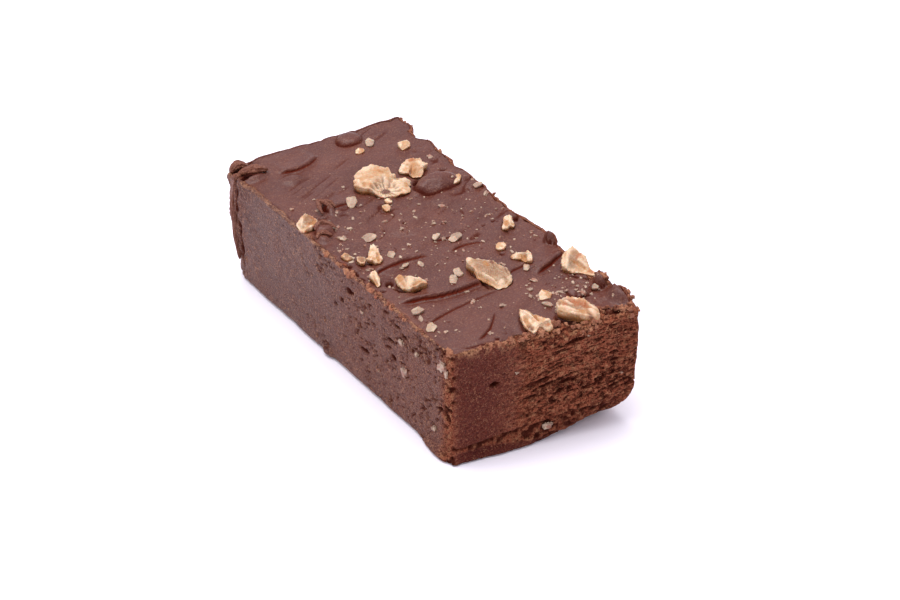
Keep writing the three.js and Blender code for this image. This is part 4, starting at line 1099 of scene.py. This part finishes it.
def curl_surface(points, radius, flat, seed):
    """A curled sliver: a ring carried along a curve through three points, thin at both ends, ragged."""
    t = np.linspace(0, 1, CURL_ROWS)[:, None]
    p0, p1, p2 = (np.array(p, float) for p in points)
    mid = 2 * p1 - (p0 + p2) / 2
    line = (1 - t) ** 2 * p0 + 2 * t * (1 - t) * mid + t ** 2 * p2
    ahead = np.gradient(line, axis=0)
    ahead /= np.linalg.norm(ahead, axis=1, keepdims=True)
    helper = np.array([0, 0, 1.0]) if abs(ahead[CURL_ROWS // 2, 2]) < 0.7 else np.array([0, 1.0, 0])
    side = np.cross(ahead, helper)
    side /= np.linalg.norm(side, axis=1, keepdims=True)
    up = np.cross(side, ahead)
    taper = np.sqrt(np.clip(4 * t * (1 - t), 0, 1)) ** 0.8
    angle = 2 * np.pi * np.arange(CURL_SPOKES)[None, :] / CURL_SPOKES
    c, k = np.cos(angle), np.sin(angle)
    ragged = 1 + sum(share * noise(t * along + seed, c * round_, k * round_)
                     for share, along, round_ in ((0.3, 7, 1.6), (0.24, 4, 5), (0.12, 34, 5)))
    size = radius * taper * ragged
    ring = line[:, None] + side[:, None] * (size * c)[..., None] + up[:, None] * (size * flat * k)[..., None]
    return ring.reshape(-1, 3), ring_faces(CURL_ROWS, CURL_SPOKES)


# Colours, sRGB.
CHOCOLATE_SATIN = 0x4E231B
# A greyer colour for the cut left face, a painted sheen.
CHOCOLATE_PAINTED_SHEEN_GREY = 0x482B26
CHOCOLATE_RED = 0x49110A
CHOCOLATE_TORN = 0x8E4C36
# Dark flecks of the fudge, and painted shade in its pits, gaps and slots.
CHOCOLATE_DARK_FLECK_AND_PAINTED_SHADE = 0x380B04
# Painted shade in the creases of the knife strokes.
CHOCOLATE_PAINTED_CREASE_SHADE = 0x561607
CHOCOLATE_DUST = 0xA87858
CHOCOLATE_CRUMB_LIGHT = 0xA26E50
CHOCOLATE_CRUMB_DARK = 0x5C281C
WALNUT_CREAM = 0xB98E68
WALNUT_GOLD = 0xA0662F
WALNUT_SKIN = 0x6A3417
WALNUT_PALE = 0xD2B89C
WALNUT_TAN = 0x7E5536
WALNUT_ORANGE = 0x9A5425
CRUMB_EDGE = 0xB49C86
CRUMB_LIGHT = 0xA2866F
CRUMB_GREY = 0x785A4D
WHITE_FLOOR = 0xF7F3FC
SHADED_FLOOR = 0xF3EEFA

# Masks that the bar and the curls carry for their material.
FUDGE_MASKS = ("torn", "deep", "dusted", "slotted", "upper", "pale", "line_off", "line_depth")

# Patterns of a material: size in millimetres, detail, roughness. Real sugar grain is finer than a tenth
# of a millimetre, and is drawn as flecks of 0.32 mm so that it shows.
FUDGE_PATTERNS = {
    "crumb": (0.55, 3.0, 0.6), "coarse": (1.6, 2.0, 0.55), "cloud": (9.0, 2.0, 0.55),
    "fleck": (0.32, 1.0, 0.55),
}
KNIFE_PATTERNS = {"lines": (0.42, 2.0, 0.55)}
WALNUT_PATTERNS = {"coarse": (1.8, 3.0, 0.55), "fine": (0.35, 3.0, 0.55)}
CRUMB_PATTERNS = {"fine": (0.3, 2.0, 0.55), "smear": (1.1, 2.0, 0.55)}
PAPER_PATTERNS = {"cloud": (60.0, 1.0, 0.55)}

# How strongly each tone of a mark covers the walnut, and its colour. The pale tone has no colour here,
# because it is the edge colour of the material that it is in.
MARK_COATS = {
    "tan": (0.9, WALNUT_TAN), "skin": (0.9, WALNUT_ORANGE), "hollow": (0.75, CRUMB_GREY),
    "gold": (0.9, WALNUT_GOLD), "brown": (1.0, WALNUT_SKIN), "pale": (0.9, None),
    "chocolate": (1.0, CHOCOLATE_RED),
}


def linear(value):
    """An sRGB hex colour as linear red, green, blue and alpha."""
    channels = [((value >> shift) & 255) / 255 for shift in (16, 8, 0)]
    return [c / 12.92 if c <= 0.04045 else ((c + 0.055) / 1.055) ** 2.4 for c in channels] + [1.0]


def add(tree, kind, settings, output=0):
    """Adds a shader node with its settings and links, and gives back one of its outputs.

    A setting is one of the node's properties or inputs, by name or number. Another node's output is linked.
    By number, MapRange takes a value (0), the range it is read in (1, 2) and the range it gives (3, 4), and
    Mix takes a share (0) and two colours (6, 7).
    """
    node = tree.nodes.new("ShaderNode" + kind)
    for key, value in settings.items():
        if isinstance(key, str) and key not in node.inputs:
            setattr(node, key, value)
        elif isinstance(value, bpy.types.NodeSocket):
            tree.links.new(value, node.inputs[key])
        else:
            node.inputs[key].default_value = value
    return node.outputs[output] if len(node.outputs) else node


def new_material(name):
    """An empty node material, its node tree and the object's own coordinates in it."""
    material = bpy.data.materials.new(name)
    material.use_nodes = True
    material.node_tree.nodes.clear()
    return material, material.node_tree, add(material.node_tree, "TexCoord", {}, "Object")


def masks_and_patterns(tree, place, masks, patterns):
    """The named attributes of a mesh, and the named noises, each with features of its real size."""
    read = {name: add(tree, "Attribute", {"attribute_name": name}, "Fac") for name in masks}
    for name, (size, detail, rough) in patterns.items():
        read[name] = add(tree, "TexNoise", {"Scale": 1 / (size * MM), "Detail": detail, "Roughness": rough,
                                            "Vector": place})
    return read


def coated(tree, colour, coats):
    """A base colour with coats of colour laid over it in turn, each by its share from 0 to 1."""
    for share, coat in coats:
        colour = add(tree, "Mix", {"data_type": "RGBA", 0: share, 6: colour, 7: linear(coat)}, 2)
    return colour


def fudge_painted_crease_shade(tree, read):
    """Painted shade in the crease of a knife stroke: darkest at once at its edge, then fading out behind it.
    """
    before = add(tree, "MapRange", {0: read["line_off"], 1: -0.22, 2: -0.02})
    behind = add(tree, "MapRange", {0: read["line_off"], 1: 0.6, 2: 0.04})
    behind = add(tree, "Math", {"operation": "MULTIPLY", 0: behind, 1: behind})
    crease_painted_shade = add(tree, "Math", {"operation": "MULTIPLY", 0: before, 1: behind})
    strength = add(tree, "Math", {"operation": "MULTIPLY", 0: read["line_depth"], 1: 1.1})
    return add(tree, "Math", {"operation": "MULTIPLY", "use_clamp": True, 0: crease_painted_shade, 1: strength})


def fudge_knife_lines(tree, place, slotted):
    """Long thin slots along the knife's way: noise drawn out sideways on a slightly tilted frame."""
    tilted = add(tree, "Mapping", {"Rotation": (0, -0.14, 0), "Scale": (0.13, 1.0, 1.0), "Vector": place})
    drawn = masks_and_patterns(tree, tilted, (), KNIFE_PATTERNS)
    lines = add(tree, "MapRange", {0: drawn["lines"], 1: 0.45, 2: 0.38})
    return add(tree, "Math", {"operation": "MULTIPLY", 0: lines, 1: slotted})


def fudge_dust(tree, read):
    """Share of tan crumb dust: spots on torn places, and the dusted rims."""
    spots = add(tree, "MapRange", {0: read["crumb"], 1: 0.52, 2: 0.68})
    torn_share = add(tree, "MapRange", {0: read["torn"], 3: 0.06, 4: 0.4})
    dust = add(tree, "Math", {"operation": "MULTIPLY", 0: spots, 1: torn_share})
    rim_share = add(tree, "MapRange", {0: read["crumb"], 1: 0.35, 2: 0.55, 3: 0.25, 4: 1.0})
    rims = add(tree, "Math", {"operation": "MULTIPLY", 0: read["dusted"], 1: rim_share})
    return add(tree, "Math", {"operation": "MAXIMUM", 0: dust, 1: rims})


def fudge_flecks(tree, read):
    """Shares of light and of dark flecks, both stronger on the cut left face."""
    light = add(tree, "MapRange", {0: read["fleck"], 1: 0.56, 2: 0.66})
    spread = add(tree, "MapRange", {0: read["coarse"], 1: 0.35, 2: 0.6, 3: 0.1, 4: 0.5})
    light = add(tree, "Math", {"operation": "MULTIPLY", 0: light, 1: spread})
    share = add(tree, "MapRange", {0: read["upper"], 3: 0.9, 4: 0.55})
    share = add(tree, "Math", {"operation": "MULTIPLY_ADD", 0: read["pale"], 1: 0.7, 2: share})
    light = add(tree, "Math", {"operation": "MULTIPLY", "use_clamp": True, 0: light, 1: share})
    dark = add(tree, "MapRange", {0: read["fleck"], 1: 0.46, 2: 0.34})
    share = add(tree, "MapRange", {0: read["upper"], 3: 0.6, 4: 0.2})
    share = add(tree, "Math", {"operation": "MULTIPLY_ADD", 0: read["pale"], 1: 0.3, 2: share})
    dark = add(tree, "Math", {"operation": "MULTIPLY", 0: dark, 1: share})
    return light, dark


def fudge_gap_painted_shade(tree, read, side):
    """Share of painted shade in the gaps between crumbs: a little on the spread top, half on the sides, most
    where torn.
    """
    spots = add(tree, "MapRange", {0: read["crumb"], 1: 0.48, 2: 0.34})
    least = add(tree, "Math", {"operation": "MULTIPLY_ADD", 0: side, 1: 0.5, 2: 0.06})
    torn_share = add(tree, "MapRange", {0: read["torn"], 4: 0.85})
    most = add(tree, "Math", {"operation": "MAXIMUM", 0: least, 1: torn_share})
    return add(tree, "Math", {"operation": "MULTIPLY", 0: spots, 1: most})


def fudge_relief(tree, read, side, crease_painted_shade, lines):
    """The bumped surface direction, from a height that adds up each pattern by its share."""
    grain = add(tree, "MapRange", {0: read["torn"], 3: 0.18, 4: 1.3})
    fleck = add(tree, "MapRange", {0: read["upper"], 3: 0.7, 4: 0.1})
    cut_crumb = add(tree, "Math", {"operation": "MULTIPLY", 0: read["crumb"], 1: side})
    height = 0.0
    for pattern, share in ((read["crumb"], grain), (read["fleck"], fleck), (crease_painted_shade, -0.8), (cut_crumb, 0.3),
                           (read["coarse"], 0.25), (lines, -0.9)):
        height = add(tree, "Math", {"operation": "MULTIPLY_ADD", 0: pattern, 1: share, 2: height})
    return add(tree, "Bump", {"Strength": 0.9, "Distance": 0.0006, "Height": height})


def fudge_matt(tree, read, crease_painted_shade):
    """Where the fudge is matt: torn, deep and creased places, and the smooth part of the front."""
    spread = add(tree, "Math", {"operation": "ADD", 0: read["pale"], 1: read["upper"]})
    matt = add(tree, "Math", {"operation": "SUBTRACT", 0: 0.72, 1: spread})
    for source, low, high in ((read["torn"], 0.0, 0.8), (read["deep"], 0.1, 0.6), (crease_painted_shade, 0.05, 0.5)):
        share = add(tree, "MapRange", {0: source, 1: low, 2: high})
        matt = add(tree, "Math", {"operation": "MAXIMUM", 0: matt, 1: share})
    return matt


def fudge_material():
    """Cooked chocolate fudge, knife-spread on top and cut or torn at the sides.

    The spread top is satin, the knife-cut left face is a little greyer as a painted sheen, and torn crumb
    is matt, redder and dusted tan on its peaks. Painted shade darkens pits, gaps, slots and creases.
    """
    material, tree, place = new_material("cooked_fudge_spread_and_cut")
    read = masks_and_patterns(tree, place, FUDGE_MASKS, FUDGE_PATTERNS)
    side = add(tree, "Math", {"operation": "SUBTRACT", 0: 1.0, 1: read["upper"]})
    crease_painted_shade = fudge_painted_crease_shade(tree, read)
    lines = fudge_knife_lines(tree, place, read["slotted"])
    light_flecks, dark_flecks = fudge_flecks(tree, read)
    clouded = add(tree, "MapRange", {0: read["cloud"], 1: 0.35, 2: 0.7, 4: 0.12})
    torn = add(tree, "Math", {"operation": "MULTIPLY", "use_clamp": True, 0: read["torn"], 1: 0.95})
    # The knife slots are darkened with painted shade; the deep mask below is painted shade too.
    slots = add(tree, "Math", {"operation": "MULTIPLY", 0: lines, 1: 0.75})
    deep = add(tree, "MapRange", {0: read["deep"], 1: 0.15, 2: 0.9, 4: 0.9})
    colour = coated(tree, linear(CHOCOLATE_RED), (
        (read["pale"], CHOCOLATE_PAINTED_SHEEN_GREY),
        (read["upper"], CHOCOLATE_SATIN),
        (clouded, CHOCOLATE_TORN),
        (torn, CHOCOLATE_TORN),
        (fudge_dust(tree, read), CHOCOLATE_DUST),
        (light_flecks, CHOCOLATE_DUST),
        (dark_flecks, CHOCOLATE_DARK_FLECK_AND_PAINTED_SHADE),
        (fudge_gap_painted_shade(tree, read, side), CHOCOLATE_DARK_FLECK_AND_PAINTED_SHADE),
        (slots, CHOCOLATE_DARK_FLECK_AND_PAINTED_SHADE),
        (deep, CHOCOLATE_DARK_FLECK_AND_PAINTED_SHADE),
        (crease_painted_shade, CHOCOLATE_PAINTED_CREASE_SHADE),
    ))
    bump = fudge_relief(tree, read, side, crease_painted_shade, lines)
    spread, broken = (
        add(tree, "BsdfPrincipled", {"IOR": 1.46, "Specular IOR Level": shine, "Roughness": rough,
                                     "Base Color": colour, "Normal": bump})
        for shine, rough in ((0.4, 0.38), (0.08, 0.85))
    )
    shader = add(tree, "MixShader", {0: fudge_matt(tree, read, crease_painted_shade), 1: spread, 2: broken})
    add(tree, "OutputMaterial", {"Surface": shader})
    return material


def walnut_material(name, cream, edge, inner):
    """Broken walnut kernel, faintly oily, with light under its surface.

    Its flesh is mottled with its edge colour, and some of its planes have the inner colour. Its sides get
    the inner colour as a painted shade and its foot a brown painted shade. The marks that it carries have
    tones of their own.
    """
    material, tree, place = new_material(name)
    read = masks_and_patterns(tree, place, MARK_TONES + ("side", "patch"), WALNUT_PATTERNS)
    coats = [
        (add(tree, "MapRange", {0: read["coarse"], 1: 0.42, 2: 0.6}), edge),
        (add(tree, "MapRange", {0: read["patch"], 1: 0.5, 2: 0.85, 4: 0.5}), inner),
    ]
    for tone, (strength, coat) in MARK_COATS.items():
        broken = add(tree, "MapRange", {0: read["fine"], 1: 0.3, 2: 0.6, 3: 0.6 * strength, 4: strength})
        share = add(tree, "Math", {"operation": "MULTIPLY", 0: read[tone], 1: broken})
        coats.append((share, edge if coat is None else coat))
    # Painted shade: the sides take the inner colour and the foot is browner still.
    foot = add(tree, "Math", {"operation": "POWER", 0: read["side"], 1: 4.0})
    coats.append((add(tree, "Math", {"operation": "MULTIPLY", 0: read["side"], 1: 0.85}), inner))
    coats.append((add(tree, "Math", {"operation": "MULTIPLY", 0: foot, 1: 0.5}), WALNUT_SKIN))
    colour = coated(tree, linear(cream), coats)
    bump = add(tree, "Bump", {"Strength": 0.5, "Distance": 0.0003, "Height": read["fine"]})
    shader = add(tree, "BsdfPrincipled", {"Roughness": 0.45, "IOR": 1.45, "Subsurface Weight": 0.3,
                                          "Subsurface Scale": 0.0012, "Base Color": colour, "Normal": bump})
    add(tree, "OutputMaterial", {"Surface": shader})
    return material


def crumb_material(name, light, dark, rough, smeared):
    """Crumbs, each a little lighter or darker than the next, granular and smeared with chocolate."""
    material, tree, place = new_material(name)
    read = masks_and_patterns(tree, place, ("tint",), CRUMB_PATTERNS)
    grain = add(tree, "MapRange", {0: read["fine"], 1: 0.35, 2: 0.7, 3: -0.2, 4: 0.4})
    darker = add(tree, "Math", {"operation": "MULTIPLY_ADD", 0: read["tint"], 1: 0.7, 2: grain})
    smear = add(tree, "MapRange", {0: read["smear"], 1: 0.5, 2: 0.62, 4: smeared})
    colour = coated(tree, linear(light), ((darker, dark), (smear, CHOCOLATE_TORN)))
    bump = add(tree, "Bump", {"Strength": 0.4, "Distance": 0.0002, "Height": read["fine"]})
    shader = add(tree, "BsdfPrincipled", {"Roughness": rough, "IOR": 1.45, "Base Color": colour,
                                          "Normal": bump})
    add(tree, "OutputMaterial", {"Surface": shader})
    return material


def add_bar(material):
    """The bar itself, which stands for the plain solid."""
    points, faces, masks = bar_surface()
    bar = make_piece("fudge_surface", points, faces, material, masks)
    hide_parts("fudge_bar")


def add_walnuts(material):
    """One fine piece for each walnut solid."""
    for name, shape in WALNUTS.items():
        points, faces, masks = kernel_surface(*shape, WALNUT_MARKS[name], FIBRES.get(name),
                                              WALNUT_SPOKES, WALNUT_ROWS)
        piece = make_piece(name + "_kernel", points, [faces], material, masks)
        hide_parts(name)


def add_curls(material):
    """Curled slivers of chocolate on the back left corner and beside the left rim."""
    for number, (p0, p1, p2, radius, flat) in enumerate(CURLS):
        points, faces = curl_surface((p0, p1, p2), radius, flat, 7.0 + number)
        masks = {name: np.full(len(points), value) for name, value in CURL_MASKS.items()}
        make_piece("curl_%d" % (number + 1), points, [faces], material, masks)


def add_named_crumbs(golden_material, sunken_material):
    """The larger crumbs, golden ones in one piece and pale sunken ones in another."""
    for kind, material, name in ((1, golden_material, "golden"), (0, sunken_material, "sunken")):
        parts = []
        for seed, (x, y, length, width, turn, high, golden) in enumerate(CRUMBS):
            if golden == kind:
                outline = crumb_outline(x, y, length, width, turn, seed)
                parts.append(kernel_surface((x, y), high, CRUMB_DEPTH, CRUMB_LEAN, outline, [], None,
                                            CRUMB_SPOKES, CRUMB_ROWS))
        points, faces, masks = joined(parts)
        make_piece("walnut_crumbs_" + name, points, [faces], material, masks)


def add_small_crumbs(material):
    """Tiny crumbs of walnut, strewn by a seeded draw, thickest over the middle and the right front."""
    rng = np.random.default_rng(11)
    count = SMALL_CRUMBS
    x = rng.uniform(-22.5, 23, count)
    y = np.where(rng.random(count) < 0.6, rng.normal(3, 12, count), rng.uniform(-48, 30, count))
    corner = rng.random(count) < 0.22
    x = np.where(corner, rng.uniform(6, 22, count), x)
    y = np.where(corner, rng.normal(-37, 5, count), y)
    on_top = (y > -45 - FRONT_SLANT * x) & (y < 50)
    x, y = x[on_top], y[on_top]
    count = len(x)
    size = 0.13 + 0.42 * rng.random(count) ** 3
    places = np.stack([x, y, top_height(x, y) - 0.05 * size], -1)
    halves = np.stack([size * rng.uniform(0.9, 2.0, count), size, size * 0.7], -1)
    points, faces, masks = grain_cloud(places, halves, turned(rng, count, 0.4), np.arange(count) + 300)
    make_piece("walnut_crumbs_small", points, [faces], material, masks, False)


def add_rim_crumbs(material):
    """Chocolate crumbs in clumps along the front, left and right rims, strewn by a seeded draw."""
    rng = np.random.default_rng(23)
    px, py = edge_places()
    pick = (rng.random(RIM_CRUMBS) * len(px)).astype(int)
    px, py = px[pick], py[pick]
    front = py < ON_EDGE
    left = (px < ON_EDGE) & ~front
    back = (py > LENGTH - ON_EDGE) & ~left
    share = np.where(left, 0.75 * smooth(72, 50, py), 0.5)
    share = np.where(front, 0.25 + 0.5 * smooth(12, 20, px), share)
    share = np.where(back, 0.0, share) * smooth(0.05, 0.5, noise(px / 2.4, py / 2.4, 77.5))
    kept = rng.random(RIM_CRUMBS) < share
    px, py = px[kept], py[kept]
    count = len(px)
    places, _ = side_places(px, py, np.ones(count), rng.uniform(0.0, 1.0, count))
    size = 0.1 + 0.55 * rng.random(count) ** 4
    halves = size[:, None] * rng.uniform(0.7, 1.3, (count, 3))
    points, faces, masks = grain_cloud(places, halves, turned(rng, count, 1.2), np.arange(count) + 2000)
    make_piece("chocolate_crumbs_rim", points, [faces], material, masks, False)


def add_side_bits(material):
    """Bits of walnut that show in the cut sides, a few splinters each."""
    rng = np.random.default_rng(41)
    places, halves = [], []
    for middle, half in SIDE_BITS:
        for _ in range(SPLINTERS):
            places.append(np.array(middle) + rng.uniform(-0.5, 0.5, 3) * np.array(half))
            halves.append(np.array(half) * rng.uniform(0.45, 0.9))
    count = len(places)
    unturned = np.broadcast_to(np.eye(3), (count, 3, 3))
    points, faces, masks = grain_cloud(np.array(places), np.array(halves), unturned, np.arange(count) + 700)
    make_piece("walnut_bits_side", points, [faces], material, masks, False)


def add_front_crumbs(material):
    """Crumbs heaped in the broken strip behind the front rim, strewn by a seeded draw, none where the top's
    painted shade is strong, as in its pits.
    """
    rng = np.random.default_rng(31)
    x = rng.uniform(-14, 24, HEAPED_CRUMBS)
    reach = np.interp(x, FRONT_HEAP[:, 0], FRONT_HEAP[:, 1])
    y = front_edge(x) + 0.5 + reach * rng.random(HEAPED_CRUMBS) ** 0.8
    size = 0.12 + 0.75 * rng.random(HEAPED_CRUMBS) ** 3.5
    open_place = top_detail(x, y)[1] < 0.5
    x, y, size = x[open_place], y[open_place], size[open_place]
    count = len(x)
    rise = np.interp(x, FRONT_RIM[:, 0] + TOP_CORNERS[0, 0], FRONT_RIM[:, 2])
    places = np.stack([x, y, top_height(x, y) + 0.5 * np.maximum(rise, -0.2) + 0.15 * size], -1)
    halves = size[:, None] * rng.uniform(0.7, 1.25, (count, 3))
    points, faces, masks = grain_cloud(places, halves, turned(rng, count, 1.2), np.arange(count) + 9000)
    make_piece("chocolate_crumbs_front", points, [faces], material, masks, False)


def paper_material():
    """Matt white paper, a little shaded in wide soft clouds."""
    material, tree, place = new_material("matt_white_paper")
    read = masks_and_patterns(tree, place, (), PAPER_PATTERNS)
    shade = add(tree, "MapRange", {0: read["cloud"], 1: 0.3, 2: 0.7, 4: 0.02})
    colour = coated(tree, linear(WHITE_FLOOR), [(shade, SHADED_FLOOR)])
    shader = add(tree, "BsdfPrincipled", {"Roughness": 0.9, "Specular IOR Level": 0.1, "Base Color": colour})
    add(tree, "OutputMaterial", {"Surface": shader})
    return material


def add_stage():
    """A white floor, a wide soft lamp overhead, a softer one from the left and a pale sky."""
    bpy.ops.mesh.primitive_plane_add(size=FLOOR_SIZE, location=(0, 0, 0))
    floor = bpy.context.object
    floor.name = "floor"
    floor.data.materials.append(paper_material())
    for name, (spot, size, power) in LAMPS.items():
        lamp = bpy.data.lights.new(name, "AREA")
        lamp.size = size
        lamp.energy = power
        holder = bpy.data.objects.new(name, lamp)
        holder.location = spot
        holder.rotation_euler = direction_turn(-np.array(spot))
        bpy.context.scene.collection.objects.link(holder)
    world = bpy.data.worlds.new("pale_sky")
    world.use_nodes = True
    sky = world.node_tree.nodes["Background"]
    sky.inputs["Color"].default_value = SKY_COLOUR
    sky.inputs["Strength"].default_value = SKY_STRENGTH
    bpy.context.scene.world = world
    bpy.context.scene.view_settings.view_transform = "Standard"


def direction_turn(aim):
    """Turn that points an object's own -Z along a direction, with its Y kept upward."""
    z = -np.array(aim, float) / np.linalg.norm(aim)
    x = np.cross([0, 0, 1.0], z)
    x = x / np.linalg.norm(x) if np.linalg.norm(x) > 1e-6 else np.array([1.0, 0, 0])
    y = np.cross(z, x)
    return Matrix(np.stack([x, y, z], axis=1).tolist()).to_euler()


# The stage, in metres: the floor, the lamps with their places, sizes and power, and the sky.
FLOOR_SIZE = 6.0
LAMPS = {
    "overhead": ((-0.05, 0.10, 0.75), 0.7, 6.0),
    "left": ((-0.7, 0.25, 0.45), 0.6, 0.9),
}
SKY_COLOUR = (0.95, 0.93, 1.0, 1.0)
SKY_STRENGTH = 0.95

# The camera: where it looks, from which side and height, how far off, and its lens.
CAMERA_AIM = np.array([1.881, -6.363, 15.0])
CAMERA_AZIMUTH = math.radians(-32.282)
CAMERA_ELEVATION = math.radians(33.204)
CAMERA_DISTANCE = 764.33
CAMERA_LENS = 128.0
CAMERA_SENSOR = 36.0


def add_camera():
    """The photograph's camera."""
    data = bpy.data.cameras.new("camera")
    data.lens = CAMERA_LENS
    data.sensor_width = CAMERA_SENSOR
    data.sensor_fit = "HORIZONTAL"
    data.clip_start = 0.01
    data.clip_end = 20.0
    back = np.array([
        math.sin(CAMERA_AZIMUTH) * math.cos(CAMERA_ELEVATION),
        -math.cos(CAMERA_AZIMUTH) * math.cos(CAMERA_ELEVATION),
        math.sin(CAMERA_ELEVATION),
    ])
    camera = bpy.data.objects.new("camera", data)
    camera.location = (CAMERA_AIM - MIDDLE + back * CAMERA_DISTANCE) * MM
    camera.rotation_euler = direction_turn(-back)
    bpy.context.scene.collection.objects.link(camera)
    bpy.context.scene.camera = camera


add_camera()
add_stage()
fudge = fudge_material()
add_bar(fudge)
add_curls(fudge)
kernel = walnut_material("broken_walnut_kernel", WALNUT_CREAM, WALNUT_PALE, WALNUT_GOLD)
sunken = walnut_material("sunken_walnut_crumb", CRUMB_LIGHT, CRUMB_EDGE, CRUMB_GREY)
add_walnuts(kernel)
add_named_crumbs(kernel, sunken)
grit = crumb_material("walnut_grit", CRUMB_EDGE, CRUMB_GREY, 0.4, 0.7)
add_small_crumbs(grit)
add_side_bits(grit)
fudge_crumbs = crumb_material("fudge_crumb", CHOCOLATE_CRUMB_LIGHT, CHOCOLATE_CRUMB_DARK, 0.85, 0.5)
add_rim_crumbs(fudge_crumbs)
add_front_crumbs(fudge_crumbs)
